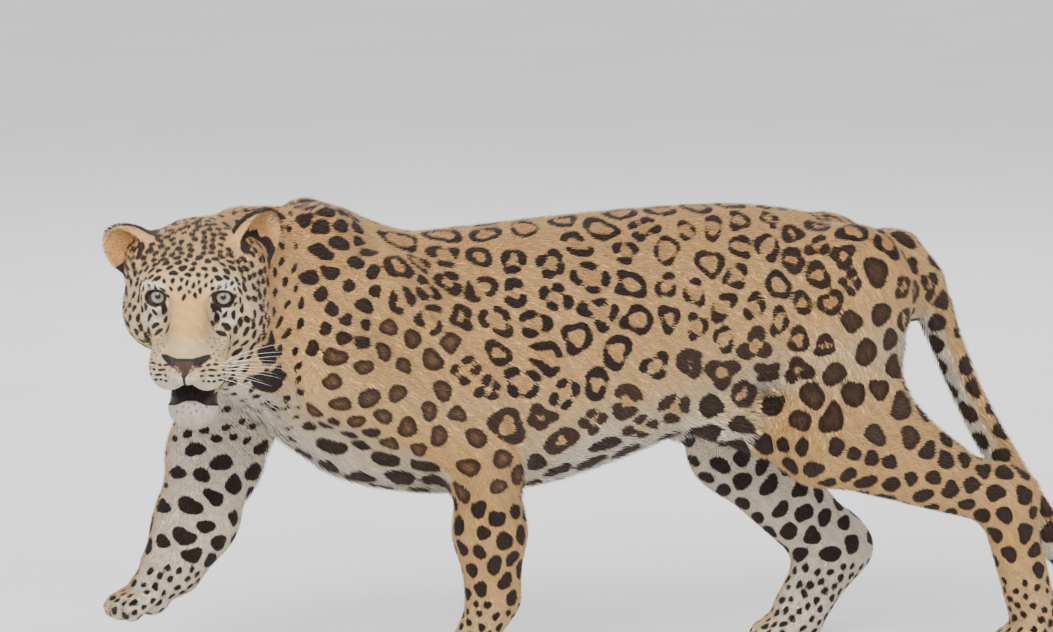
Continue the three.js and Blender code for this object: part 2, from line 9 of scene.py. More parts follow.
import logging
import math
from dataclasses import dataclass, field
from enum import Enum

import bmesh
import bpy
import numpy as np
from mathutils import Matrix, Vector
from mathutils.kdtree import KDTree


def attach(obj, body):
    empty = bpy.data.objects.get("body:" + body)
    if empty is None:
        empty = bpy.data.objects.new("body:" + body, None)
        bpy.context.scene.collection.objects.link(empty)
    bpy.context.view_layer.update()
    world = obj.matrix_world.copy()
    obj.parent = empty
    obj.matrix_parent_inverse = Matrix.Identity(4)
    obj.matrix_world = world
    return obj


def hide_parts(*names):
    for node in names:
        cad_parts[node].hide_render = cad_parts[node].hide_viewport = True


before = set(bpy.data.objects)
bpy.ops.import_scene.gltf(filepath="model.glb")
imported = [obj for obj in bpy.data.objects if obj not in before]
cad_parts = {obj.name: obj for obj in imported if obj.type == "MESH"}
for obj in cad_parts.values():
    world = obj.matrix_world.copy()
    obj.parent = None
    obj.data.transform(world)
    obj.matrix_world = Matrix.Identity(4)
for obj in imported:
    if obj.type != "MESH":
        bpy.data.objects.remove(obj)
log = logging.getLogger("leopard")

# Sizes shared by everything: the solids' own frame is metres, the joints' frame millimetres
MM = 0.001
FLOOR_LEVEL = -14.0  # height of the floor in the frame of the joints
FLOOR_SHIFT = np.array((-150.0, 34.0, 14.0))  # from the frame of the joints to that of the solids
SEED = 20817

Points = np.ndarray
Values = np.ndarray


def to_metres(points: Points) -> Points:
    """Turns places in the frame of the joints into metres in the frame of the solids."""
    return (points + FLOOR_SHIFT) * MM


def to_joints(points: Points) -> Points:
    """Turns places in metres in the frame of the solids into the frame of the joints."""
    return points / MM - FLOOR_SHIFT


def vec(*values: float) -> Points:
    """A place or direction as an array."""
    return np.array(values, float)


def unit(v: Points) -> Points:
    """Directions of length one, along the last axis."""
    return v / np.maximum(np.linalg.norm(v, axis=-1, keepdims=True), 1e-9)


def ramp(value: Values, low: float, high: float) -> Values:
    """Rises smoothly from 0 at low to 1 at high."""
    t = np.clip((value - low) / (high - low), 0, 1)
    return t * t * (3 - 2 * t)


def join(a: Values, b: Values, k: float) -> Values:
    """Soft union of two fields, blended over k."""
    return np.minimum(a, b) - np.maximum(k - np.abs(a - b), 0) ** 2 / (4 * k)


def carve(a: Values, b: Values, k: float) -> Values:
    """Soft cut of a by b, blended over k."""
    return -join(-a, b, k)


def bar(p: Points, a: Points, ra: float, b: Points, rb: float, flat: float = 1.0) -> Values:
    """Distance to a bar that tapers from radius ra at a to rb at b.

    Args:
        p: Places to measure, one a row.
        a: Centre of the first end.
        ra: Radius there.
        b: Centre of the second end.
        rb: Radius there.
        flat: How much the bar is narrowed along Y.

    Returns:
        The distances, negative inside.
    """
    shrink = vec(1, flat, 1)
    u = (np.asarray(b) - a) / shrink
    q = (p - a) / shrink
    t = np.clip(q @ u / (u @ u), 0, 1)
    return np.linalg.norm(q - t[:, None] * u, axis=1) - ra - t * (rb - ra)


def lump(p: Points, centre: Points, radii: Points) -> Values:
    """Distance to an ellipsoid, close enough near its surface."""
    q = p - centre
    radii = np.asarray(radii, float)
    scaled = np.linalg.norm(q / radii, axis=1)
    slope = np.linalg.norm(q / radii**2, axis=1)
    return scaled * (scaled - 1) / np.maximum(slope, 1e-6)


def stations(values: Points, place: Values) -> Values:
    """Smooth value of a list of stations at a place along it.

    Args:
        values: The value at each station.
        place: Where to read it, counted in stations.

    Returns:
        The values in between, on a smooth curve through the stations.
    """
    values = np.asarray(values, float)
    last = len(values) - 1
    s = np.clip(place, 0, last)
    i = np.minimum(last - 1, np.floor(s)).astype(int)
    t = s - i
    p0, p1, p2, p3 = (values[np.clip(i + d, 0, last)] for d in (-1, 0, 1, 2))
    bend = (2 * p0 - 5 * p1 + 4 * p2 - p3) * t * t + (3 * (p1 - p2) + p3 - p0) * t**3
    return p1 + 0.5 * ((p2 - p0) * t + bend)


@dataclass
class Trunk:
    """The barrel of the body, from stations every 100 mm from the breast to the rump."""

    start: float = -430.0
    step: float = 100.0
    back: tuple = (548, 604, 594, 598, 606, 612, 616, 612, 590, 534)
    belly: tuple = (352, 262, 232, 226, 233, 260, 296, 330, 366, 430)
    width: tuple = (66, 102, 122, 130, 132, 126, 116, 112, 98, 60)
    cap: float = 42.0
    lean: float = 0.13

    def section(self, x: Values) -> tuple[Values, Values, Values]:
        """Heights of the back and of the belly, and half width, at each x."""
        place = (x - self.start) / self.step
        return stations(self.back, place), stations(self.belly, place), stations(self.width, place)

    def height(self, p: Points) -> Values:
        """How high a place is on the barrel, from -1 at the belly to 1 at the back."""
        back, belly, _ = self.section(p[:, 0])
        return (2 * p[:, 2] - back - belly) / (back - belly)

    def distance(self, p: Points) -> Values:
        """Distance to the barrel, negative inside."""
        back, belly, wide = self.section(p[:, 0])
        up = self.height(p)
        wide = wide * (1 - self.lean * np.clip(up, -1, 1))
        end = self.start + self.step * (len(self.back) - 1)
        beyond = np.maximum(0, np.maximum(self.start - p[:, 0], p[:, 0] - end)) / self.cap
        reach = np.sqrt((p[:, 1] / wide) ** 2 + up**2 + beyond**2)
        return (reach - 1) * np.minimum(wide, (back - belly) / 2)


@dataclass
class Muscles:
    """Tapered bars between the joints, which the trunk's barrel is joined with."""

    blend: float = 26.0
    joints: dict = field(
        default_factory=lambda: {
            "blade_top_left": (-335, -44, 590),
            "shoulder_left": (-320, -92, 415),
            "elbow_left": (-126, -90, 302),
            "wrist_left": (-106, -54, 96),
            "palm_left": (-130, -46, 32),
            "blade_top_right": (-342, 44, 588),
            "shoulder_right": (-440, 82, 392),
            "elbow_right": (-436, 84, 262),
            "wrist_right": (-519, 62, 138),
            "palm_right": (-553, 55, 106),
            "hip_left": (388, -60, 500),
            "knee_left": (338, -102, 302),
            "hock_left": (598, -86, 208),
            "ball_left": (646, -80, 32),
            "hip_right": (378, 60, 500),
            "knee_right": (268, 98, 262),
            "hock_right": (412, 98, 112),
            "ball_right": (362, 92, 28),
        }
    )

    def bars(self) -> list[tuple]:
        """Each bar as from, radius, to, radius and width across the body over height."""
        j = self.joints
        return [
            ((-300, 0, 478), 128, (-452, -40, 522), 90, 0.82),
            ((-345, 0, 392), 92, (-470, -72, 462), 62, 0.9),
            ((-330, 0, 560), 70, (-440, -24, 580), 56, 0.8),
            (j["blade_top_left"], 46, j["shoulder_left"], 66, 0.78),
            (j["shoulder_left"], 68, j["elbow_left"], 50, 0.78),
            ((-258, -80, 520), 56, (-126, -90, 334), 50, 0.7),
            (j["elbow_left"], 54, (-114, -68, 190), 47, 0.86),
            ((-114, -68, 190), 47, j["wrist_left"], 39, 0.86),
            (j["blade_top_right"], 46, j["shoulder_right"], 64, 0.78),
            (j["shoulder_right"], 66, (-474, 84, 286), 48, 0.78),
            ((-322, 76, 512), 54, j["elbow_right"], 42, 0.7),
            (j["elbow_right"], 42, (-484, 78, 198), 48, 0.86),
            ((-474, 84, 286), 50, (-484, 76, 198), 52, 0.86),
            ((-484, 76, 198), 52, j["wrist_right"], 45, 0.9),
            (j["hip_left"], 88, j["knee_left"], 66, 0.66),
            ((402, -62, 470), 62, (404, -94, 344), 52, 0.7),
            ((404, -94, 344), 52, (500, -92, 262), 38, 0.8),
            (j["knee_left"], 66, j["hock_left"], 42, 0.72),
            (j["hock_left"], 40, j["ball_left"], 33, 0.84),
            ((592, -87, 224), 24, (630, -86, 212), 20, 0.8),
            (j["hip_right"], 88, j["knee_right"], 66, 0.66),
            ((416, 60, 468), 62, (330, 92, 322), 54, 0.7),
            (j["knee_right"], 62, j["hock_right"], 47, 0.74),
            (j["hock_right"], 44, j["ball_right"], 38, 0.84),
            ((420, 98, 132), 24, (440, 99, 114), 22, 0.8),
            ((190, -70, 336), 42, (318, -96, 296), 44, 0.5),
            ((150, 66, 318), 38, (250, 90, 292), 44, 0.5),
            ((440, 0, 528), 42, (500, 0, 492), 36, 0.9),
        ]


@dataclass(frozen=True)
class Paw:
    """One paw: where it hangs, where its toes point and how big they are."""

    wrist: tuple
    ball: tuple
    turn: float
    reach: float
    toe: float
    drop: float
    pad: float
    spread: tuple = (-25, -9, 9, 25)
    shorter: tuple = (9, 0, 0, 9)
    cleft: float = 3.5

    def aim(self) -> tuple[float, float]:
        """Cosine and sine of the direction of the toes in plan."""
        return math.cos(math.radians(self.turn)), math.sin(math.radians(self.turn))

    def toe_ends(self) -> list[tuple[Points, Points]]:
        """Root and tip of each toe."""
        c, s = self.aim()
        x, y, z = self.ball
        ends = []
        for side, short in zip(self.spread, self.shorter):
            long = self.reach - short
            root = vec(x - 8 * c - side * s * 0.8, y - 8 * s + side * c * 0.8, z - 4)
            tip = vec(x - long * c - side * s, y - long * s + side * c, z - self.drop)
            ends.append((root, tip))
        return ends

    def distance(self, p: Points) -> Values:
        """Distance to the paw, negative inside."""
        x, y, z = self.ball
        d = bar(p, self.wrist, self.toe * 1.7, self.ball, self.toe * 1.75)
        heel = vec(x + 4, y, z - self.pad)
        d = join(d, bar(p, self.ball, self.toe * 1.5, heel, self.toe * 1.45), 10)
        for root, tip in self.toe_ends():
            d = join(d, bar(p, root, self.toe * 0.95, tip, self.toe), self.cleft)
        return d


@dataclass
class Tail:
    """The tail: a smooth centre line from the rump to the tip, and its radius along the way."""

    line: tuple = (
        (470, 0, 530), (508, 0, 484), (540, 0, 412), (572, 0, 336), (618, 0, 252), (668, 0, 168),
        (722, 4, 100), (784, 10, 66), (846, 16, 72), (896, 20, 106), (922, 22, 158),
    )
    radius: tuple = (40, 33, 29, 28, 28, 27, 26, 25, 24, 22, 15)
    pieces: int = 40

    def __post_init__(self) -> None:
        """Works out the points and radii along the curve once."""
        self.points = np.array([self.place(i / self.pieces) for i in range(self.pieces + 1)])
        along = np.linspace(0, len(self.radius) - 1, self.pieces + 1)
        self.radii = stations(self.radius, along)

    def place(self, share: float) -> Points:
        """A point on the curve through the line's points, even in the points' numbers.

        Args:
            share: How far along, from 0 at the rump to 1 at the tip.

        Returns:
            The point.
        """
        pts = np.array(self.line, float)
        last = len(pts) - 1
        i = min(int(share * last), last - 1)
        t = share * last - i
        before = pts[i - 1] if i else 2 * pts[0] - pts[1]
        after = pts[i + 2] if i + 2 <= last else 2 * pts[last] - pts[last - 1]
        p0, p1, p2, p3 = before, pts[i], pts[i + 1], after
        d0, d1, d2 = (math.sqrt(np.linalg.norm(b - a)) for a, b in ((p0, p1), (p1, p2), (p2, p3)))
        m1 = ((p1 - p0) / d0 - (p2 - p0) / (d0 + d1) + (p2 - p1) / d1) * d1
        m2 = ((p2 - p1) / d1 - (p3 - p1) / (d1 + d2) + (p3 - p2) / d2) * d1
        bend = (-3 * p1 + 3 * p2 - 2 * m1 - m2) * t * t + (2 * p1 - 2 * p2 + m1 + m2) * t**3
        return p1 + m1 * t + bend

    def distance(self, p: Points) -> Values:
        """Distance to the tail, negative inside."""
        d = np.full(len(p), np.inf)
        for i in range(self.pieces):
            piece = bar(p, self.points[i], self.radii[i], self.points[i + 1], self.radii[i + 1])
            d = np.minimum(d, piece)
        return d

    def nearest(self, p: Points) -> tuple[Values, Points]:
        """How far along the tail each place is, from 0 to 1, and the tail's direction there."""
        gaps = np.linalg.norm(p[:, None, :] - self.points[None], axis=2)
        i = np.clip(gaps.argmin(axis=1), 1, self.pieces - 1)
        return i / self.pieces, unit(self.points[i + 1] - self.points[i - 1])


@dataclass(frozen=True)
class Ear:
    """One ear: a cup with its root, the direction of its tip and that of its opening."""

    at: tuple
    tip: tuple
    open: tuple
    long: float = 46.0
    wide: float = 38.0
    deep: float = 26.0
    wall: float = 8.5

    def axes(self) -> Points:
        """Across, out of the opening and along, as rows."""
        along = unit(vec(*self.tip))
        mouth = vec(*self.open)
        mouth = unit(mouth - mouth @ along * along)
        return np.array((np.cross(along, mouth), mouth, along))

    def local(self, h: Points) -> Points:
        """Places in the ear's own axes."""
        return (h - self.at) @ self.axes().T

    def cup(self, q: Points, thinner: float = 0.0) -> Values:
        """Distance to the hollow, in the ear's own axes."""
        wall = self.wall - thinner
        inside = (self.wide - wall, self.deep, self.long - wall)
        return lump(q, (0, self.deep * 0.6, self.long * 0.34), inside)

    def distance(self, h: Points) -> Values:
        """Distance to the ear from places in the head's frame."""
        q = self.local(h)
        shell = lump(q, (0, 0, self.long * 0.3), (self.wide, self.deep, self.long))
        return carve(shell, self.cup(q), 5)


@dataclass
class Head:
    """The head in its own frame: forward, left and up from the middle of the skull."""

    skull: tuple = (-516, -88, 530)
    heading: float = 19.0
    nod: float = 25.0
    lumps: tuple = (
        ((-24, 0, 22), (84, 76, 62), 20),
        ((-18, 56, 32), (44, 40, 40), 20),
        ((26, 26, 34), (46, 40, 34), 18),
        ((4, 56, -22), (56, 44, 54), 22),
        ((-24, 48, -58), (50, 40, 44), 24),
        ((113, 25, -45), (30, 26, 28), 9),
        ((142, 0, -31), (17, 26, 15), 8),
        ((99, 0, -122), (29, 32, 24), 14),
    )
    bars: tuple = (
        ((34, 0, 34), 32, (130, 0, -27), 22, 16),
        ((46, 20, -14), 37, (104, 21, -38), 27, 16),
        ((6, 0, -68), 46, (90, 0, -112), 28, 18),
    )
    hollows: tuple = (
        ((72, 45, 30), (17, 18, 15), 12),
        ((84, 37, 3), (22, 9, 14), 14),
    )
    eye: tuple = (46, 43, 23)
    eye_radius: float = 18.5
    lid_radius: float = 22.5
    opening: tuple = (13.5, 10.5)
    outward: float = 6.0
    lift: float = 27.0
    mouth: tuple = ((99, 0, -89), (44, 37, 7))
    nostril: tuple = ((155, 9, -23), (134, 26, -16), 4.4)
    philtrum: tuple = ((160, 0, -46), (146, 0, -78), 3.0)
    left_ear: Ear = Ear((-32, 72, 56), (-0.3, 0.6, 0.74), (0.78, 0.58, -0.1))
    right_ear: Ear = Ear((-24, -74, 40), (-0.14, -0.8, 0.58), (0.86, -0.34, 0.1))

    def axes(self) -> Points:
        """Forward, left and up as rows, in the frame of the joints."""
        turn, nod = math.radians(self.heading), math.radians(self.nod)
        ahead = vec(-math.sin(turn), -math.cos(turn), 0)
        left = vec(math.cos(turn), -math.sin(turn), 0)
        forward = ahead * math.cos(nod) + vec(0, 0, -math.sin(nod))
        return np.array((forward, left, np.cross(forward, left)))

    def local(self, p: Points) -> Points:
        """Places from the frame of the joints in the head's frame."""
        return (p - self.skull) @ self.axes().T

    def world(self, h: Points) -> Points:
        """Places from the head's frame in the frame of the joints."""
        return np.asarray(h, float) @ self.axes() + self.skull

    def mirrored(self, h: Points) -> Points:
        """The same places with those on the right moved over to the left."""
        return h * vec(1, 0, 1) + np.abs(h) * vec(0, 1, 0)

    def height_seen(self, h: Points) -> Values:
        """Height of places as someone sees it who looks the animal in the face."""
        return 0.829 * h[:, 2] - 0.559 * h[:, 0]

    def direction(self, v: Points) -> Points:
        """Directions from the head's frame in the frame of the joints."""
        return np.asarray(v, float) @ self.axes()

    def slit(self, m: Points) -> Values:
        """Distance to the edge of the eye's opening, from mirrored places in the head's frame."""
        turn, lift = math.radians(self.outward), math.radians(self.lift)
        across = vec(-math.sin(turn), math.cos(turn), 0)
        out = vec(math.cos(turn) * math.cos(lift), math.sin(turn) * math.cos(lift), math.sin(lift))
        q = m - self.eye
        wide, high = self.opening
        side, up = q @ across, q @ np.cross(out, across)
        up = up + 0.12 * np.minimum(side, 0)
        edge = (np.hypot(side / wide, up / high) - 1) * high
        return np.where(q @ out < 0, 40.0, edge)

    def distance(self, h: Points) -> Values:
        """Distance to the skull with both ears, from places in the head's frame."""
        m = self.mirrored(h)
        d = None
        for centre, radii, k in self.lumps:
            part = lump(m, centre, radii)
            d = part if d is None else join(d, part, k)
        for a, ra, b, rb, k in self.bars:
            d = join(d, bar(m, a, ra, b, rb), k)
        for centre, radii, k in self.hollows:
            d = carve(d, lump(m, centre, radii), k)
        near = np.linalg.norm(m - self.eye, axis=1)
        lidded = carve(join(d, near - self.lid_radius, 8), self.slit(m), 2.0)
        lidded = np.minimum(lidded, near - self.eye_radius + 0.6)
        d = np.where(near < 60, lidded, d)
        d = carve(d, lump(m, *self.mouth), 4)
        inner, outer, size = self.nostril
        holed = carve(d, bar(m, inner, size, outer, size / 2), 3)
        top, bottom, thin = self.philtrum
        holed = carve(holed, bar(m, top, thin, bottom, thin), 3)
        d = np.where(m[:, 0] > 110, holed, d)
        return join(join(d, self.left_ear.distance(h), 8), self.right_ear.distance(h), 8)


class Body:
    """The whole animal's outer surface as one signed field, in the frame of the joints."""

    WRIST_REACH = 220.0
    CREASE = (
        (-252, -17, 604), (-232, -116, 526), (-194, -118, 485), (-155, -124, 447),
        (-125, -130, 417), (-109, -132, 383), (-99, -131, 349), (-98, -126, 268),
    )  # behind the left shoulder, from the withers down to the elbow
    RIDGE = (-13.0, 0.0, -5.0)  # from the crease to the fold of skin beside it

    def __init__(self) -> None:
        """Gathers the trunk, the muscles, the paws, the tail and the head."""
        self.trunk = Trunk()
        self.muscles = Muscles()
        self.tail = Tail()
        self.head = Head()
        j = self.muscles.joints
        self.paws = (
            Paw(j["wrist_left"], j["palm_left"], 4, 52, 18, 33, 24),
            Paw(j["wrist_right"], j["palm_right"], 12, 46, 17, 20, 10),
            Paw(j["hock_left"], j["ball_left"], 4, 56, 16.5, 34, 24),
            Paw(j["hock_right"], j["ball_right"], 6, 54, 16.5, 31, 22),
        )

    def distance(self, p: Points) -> Values:
        """Distance to the outer surface, negative inside."""
        d = self.trunk.distance(p)
        for a, ra, b, rb, flat in self.muscles.bars():
            d = join(d, bar(p, a, ra, b, rb, flat), self.muscles.blend)
        for paw in self.paws:
            near = np.hypot(p[:, 0] - paw.ball[0], p[:, 1] - paw.ball[1]) < self.WRIST_REACH
            d[near] = join(d[near], paw.distance(p[near]), 14)
        rear = p[:, 0] > 420
        d[rear] = join(d[rear], self.tail.distance(p[rear]), 16)
        front = p[:, 0] < -300
        h = self.head.local(p[front])
        d[front] = join(d[front], self.head.distance(h), 26)
        return np.maximum(d, FLOOR_LEVEL - p[:, 2])

    def slope(self, p: Points, reach: float = 0.5) -> Points:
        """Slope of the field at each place, which points out of the body."""
        steps = np.eye(3) * reach
        return np.stack([self.distance(p + s) - self.distance(p - s) for s in steps], 1) / (2 * reach)

    def crease(self, p: Points) -> Values:
        """How much deeper the skin lies along the fold behind the left shoulder."""
        out = np.zeros(len(p))
        near = np.flatnonzero((np.abs(p[:, 0] + 175) < 120) & (p[:, 1] < 0))
        for shift, deep, wide in ((vec(0, 0, 0), 5.0, 7.0), (vec(*self.RIDGE), -2.4, 10.0)):
            ends = [vec(*q) + shift for q in self.CREASE]
            away = [bar(p[near], a, 0.0, b, 0.0) for a, b in zip(ends, ends[1:])]
            out[near] += deep * np.exp(-((np.min(away, axis=0) / wide) ** 2))
        return out

    def cover(self, p: Points) -> Values:
        """Depth of the coat, in millimetres, at places near the surface."""
        depth = 3.0 + 2.5 * ramp(p[:, 2], 180, 330) + self.crease(p)
        depth += 2.5 * ramp(-self.trunk.height(p), 0.5, 1.0) * ramp(p[:, 2], 180, 230)
        depth -= 1.5 * ramp(-p[:, 2], -90, -20)
        depth += 1.0 * ramp(p[:, 0], 500, 560)
        h = self.head.local(p)
        m = self.head.mirrored(h)
        near = 1 - ramp(np.linalg.norm(h - vec(20, 0, -20), axis=1), 120, 170)
        face = 3.6 - 2.3 * ramp(h[:, 0], 10, 80)
        ears = np.minimum(self.head.left_ear.distance(h), self.head.right_ear.distance(h))
        face = np.minimum(face, 1.0 + 2.6 * ramp(ears, 2, 16))
        face = np.minimum(face, 0.3 + 3.3 * ramp(np.linalg.norm(m - self.head.eye, axis=1), 21, 34))
        return depth + near * (face - depth)

    def drawn(self, p: Points, passes: int = 3, limit: float = 6.0) -> Points:
        """Places moved along the slope until they lie under the surface by the coat's depth.

        Args:
            p: Places near the surface.
            passes: How often each is moved.
            limit: Longest way that one pass may move a place.

        Returns:
            The moved places.
        """
        for _ in range(passes):
            slope = self.slope(p)
            steep = np.maximum(0.1, (slope**2).sum(1))
            step = -((self.distance(p) + self.cover(p)) / steep)[:, None] * slope
            size = np.linalg.norm(step, axis=1, keepdims=True)
            p = p + step * np.minimum(1, limit / np.maximum(size, 1e-9))
        return np.maximum(p, vec(-1e6, -1e6, FLOOR_LEVEL + 0.6))


class Part(Enum):
    """Parts of the animal with a lie of their own."""

    TRUNK = 0
    HEAD = 1
    TAIL = 2
    FORELEG_LEFT = 3
    FORELEG_RIGHT = 4
    HIND_LEG_LEFT = 5
    HIND_LEG_RIGHT = 6


class Lie:
    """Where each place is on the animal, and which way the coat lies there."""

    SOFT = 22.0  # millimetres over which one part's lie turns into the next
    NECK_BARS = 2  # of the muscles, which count as trunk
    NOSE = (165, 0, -20)  # in the head's frame, where the lie of the face starts

    def __init__(self, body: Body) -> None:
        """Lays a line of bones through each leg."""
        self.body = body
        j = body.muscles.joints
        self.legs = {
            Part.FORELEG_LEFT: self.bones(j, "shoulder_left", "elbow_left", "wrist_left", 0),
            Part.FORELEG_RIGHT: self.bones(j, "shoulder_right", "elbow_right", "wrist_right", 1),
            Part.HIND_LEG_LEFT: self.bones(j, "hip_left", "knee_left", "hock_left", 2),
            Part.HIND_LEG_RIGHT: self.bones(j, "hip_right", "knee_right", "hock_right", 3),
        }

    def bones(self, joints: dict, top: str, middle: str, low: str, paw: int) -> Points:
        """The bends of one leg from its top to the ends of its toes."""
        ball = self.body.paws[paw]
        c, s = ball.aim()
        x, y, z = ball.ball
        toes = (x - ball.reach * c, y - ball.reach * s, z - ball.drop)
        return np.array((joints[top], joints[middle], joints[low], ball.ball, toes), float)

    def along_bones(self, p: Points, bones: Points) -> tuple[Values, Values, Points, Points]:
        """Nearest place on a line of bones.

        Args:
            p: Places to look from.
            bones: The line's bends.

        Returns:
            The distance to the line, the length along it, the nearest points, the directions.
        """
        best = np.full(len(p), np.inf)
        along, start = np.zeros(len(p)), 0.0
        foot, aim = np.zeros_like(p), np.zeros_like(p)
        for a, b in zip(bones[:-1], bones[1:]):
            u = b - a
            size = np.linalg.norm(u)
            t = np.clip((p - a) @ u / size**2, 0, 1)
            q = a + t[:, None] * u
            gap = np.linalg.norm(p - q, axis=1)
            closer = gap < best
            best[closer] = gap[closer]
            along[closer] = start + t[closer] * size
            foot[closer] = q[closer]
            aim[closer] = u / size
            start += size
        return best, along, foot, aim

    def gaps(self, p: Points) -> tuple[Points, dict]:
        """How far each place is from each part, and the legs' nearest places.

        Args:
            p: Places in the frame of the joints.

        Returns:
            A column of distances for each part, and for each leg what along_bones gives.
        """
        body = self.body
        gaps = np.full((len(p), len(Part)), 1e3)
        gaps[:, Part.TRUNK.value] = body.trunk.distance(p) - 6
        for a, ra, b, rb, flat in body.muscles.bars()[: self.NECK_BARS]:
            neck = bar(p, a, ra, b, rb, flat)
            gaps[:, Part.TRUNK.value] = np.minimum(gaps[:, Part.TRUNK.value], neck)
        h = body.head.local(p)
        gaps[:, Part.HEAD.value] = np.linalg.norm((h - vec(30, 0, -25)) / vec(1.35, 1, 1.15), axis=1) - 86
        rear = p[:, 0] > 440
        gaps[rear, Part.TAIL.value] = body.tail.distance(p[rear]) - 4
        legs = {}
        for part, bones in self.legs.items():
            found = self.along_bones(p, bones)
            legs[part] = found
            gaps[:, part.value] = found[0] - 50 + 12 * ramp(p[:, 2], 330, 480)
        return gaps, legs

    def flow(self, p: Points, normal: Points) -> tuple[Points, Values]:
        """Direction of the coat along the skin, and the part that each place belongs to.

        Args:
            p: Places in the frame of the joints.
            normal: Directions out of the skin there.

        Returns:
            Directions of length one that lie in the skin, and numbers of parts.
        """
        body = self.body
        gaps, legs = self.gaps(p)
        share = np.exp(-(gaps - gaps.min(axis=1, keepdims=True)) / self.SOFT)
        up = np.clip(body.trunk.height(p), -1, 1)
        back = np.stack([np.ones(len(p)), 0 * up, -0.5 * (1 - up**2) - 0.5 * ramp(-p[:, 0], 300, 460)], 1)
        total = share[:, :1] * unit(back)
        h = body.head.local(p)
        away = h - vec(*self.NOSE)
        away[:, 2] -= 25 * ramp(-h[:, 2], 20, 90)
        total += share[:, 1:2] * body.head.direction(unit(away))
        _, tail = body.tail.nearest(p)
        total += share[:, 2:3] * tail
        for part, (_, _, _, aim) in legs.items():
            total += share[:, part.value, None] * unit(aim + vec(0.25, 0, 0))
        for ear in (body.head.left_ear, body.head.right_ear):
            at = np.exp(-np.maximum(ear.distance(h), 0) / 5)[:, None]
            total = total * (1 - at) + at * body.head.direction(unit(vec(*ear.tip)))
        flat = total - (total * normal).sum(1, keepdims=True) * normal
        return unit(flat), gaps.argmin(axis=1)

    def chart(self, p: Points, part: Values) -> Points:
        """Unwraps the skin: for each place the way round its part and along it, in millimetres.

        Args:
            p: Places in the frame of the joints.
            part: The number of the part of each.

        Returns:
            Two columns, round and along.
        """
        body = self.body
        out = np.zeros((len(p), 2))
        is_part = {each: part == each.value for each in Part}
        q = p[is_part[Part.TRUNK]]
        back, belly, _ = body.trunk.section(q[:, 0])
        round_by = np.arctan2(q[:, 1], q[:, 2] - (back + belly) / 2)
        out[is_part[Part.TRUNK]] = np.stack([round_by * 125, q[:, 0]], 1)
        h = body.head.local(p[is_part[Part.HEAD]]) - vec(*self.NOSE)
        round_by = np.arctan2(h[:, 1], h[:, 2] + 0.2 * h[:, 0])
        out[is_part[Part.HEAD]] = np.stack([round_by * 70, np.linalg.norm(h, axis=1)], 1)
        q = p[is_part[Part.TAIL]]
        share, aim = body.tail.nearest(q)
        middle = np.array([body.tail.points[int(s * body.tail.pieces)] for s in share]).reshape(-1, 3)
        side = q[:, 1] - middle[:, 1]
        over = ((q - middle) * unit(np.cross(aim, vec(0, 1, 0)))).sum(1)
        length = np.linalg.norm(np.diff(body.tail.points, axis=0), axis=1).sum()
        past = ((q - middle) * aim).sum(1)
        out[is_part[Part.TAIL]] = np.stack([np.arctan2(side, -over) * 27, share * length + past], 1)
        for leg, bones in self.legs.items():
            q = p[is_part[leg]]
            _, along, foot, _ = self.along_bones(q, bones)
            r = q - foot
            round_by = np.arctan2(r[:, 1], -r[:, 0] - 0.4 * r[:, 2])
            out[is_part[leg]] = np.stack([round_by * 46, along], 1)
        return out

    def bake_place(self, p: Points, part: Values) -> Points:
        """Places on one unwrap of the whole skin, each part in a cell of its own.

        Args:
            p: Places in the frame of the joints.
            part: The number of the part of each.

        Returns:
            Two columns between 0 and 1.
        """
        cells = {
            Part.TRUNK: (0.02, 0.36, 0.02, 0.98, 393.0, -560.0, 540.0),
            Part.HEAD: (0.38, 0.66, 0.02, 0.48, 220.0, 0.0, 340.0),
            Part.TAIL: (0.38, 0.48, 0.52, 0.98, 85.0, -20.0, 720.0),
            Part.FORELEG_LEFT: (0.68, 0.82, 0.02, 0.48, 145.0, 0.0, 560.0),
            Part.FORELEG_RIGHT: (0.84, 0.98, 0.02, 0.48, 145.0, 0.0, 560.0),
            Part.HIND_LEG_LEFT: (0.50, 0.72, 0.52, 0.98, 145.0, 0.0, 800.0),
            Part.HIND_LEG_RIGHT: (0.74, 0.98, 0.52, 0.98, 145.0, 0.0, 800.0),
        }
        flat = self.chart(p, part)
        out = np.zeros_like(flat)
        for each, (left, right, low, high, half, first, last) in cells.items():
            chosen = part == each.value
            u = np.clip((flat[chosen, 0] + half) / (2 * half), 0, 1)
            v = np.clip((flat[chosen, 1] - first) / (last - first), 0, 1)
            out[chosen] = np.stack([left + u * (right - left), low + v * (high - low)], 1)
        return out


@dataclass
class Zone:
    """How the spots of one region are spaced and shaped, in millimetres."""

    gap: float  # between middles, across the lie of the coat
    radius: float  # across the lie
    stretch: float = 1.0  # length along the lie over that across it
    stroke: float = 0.0  # width of a ring's line, or 0 for a filled spot
    umber: float = 0.0  # how far the ink turns brown
    spaced: float = 1.0  # gap along the lie over that across it
    open: float = 1.0  # how far a ring's line is broken
    heart: float = 0.25  # how much deeper the ground is inside a ring


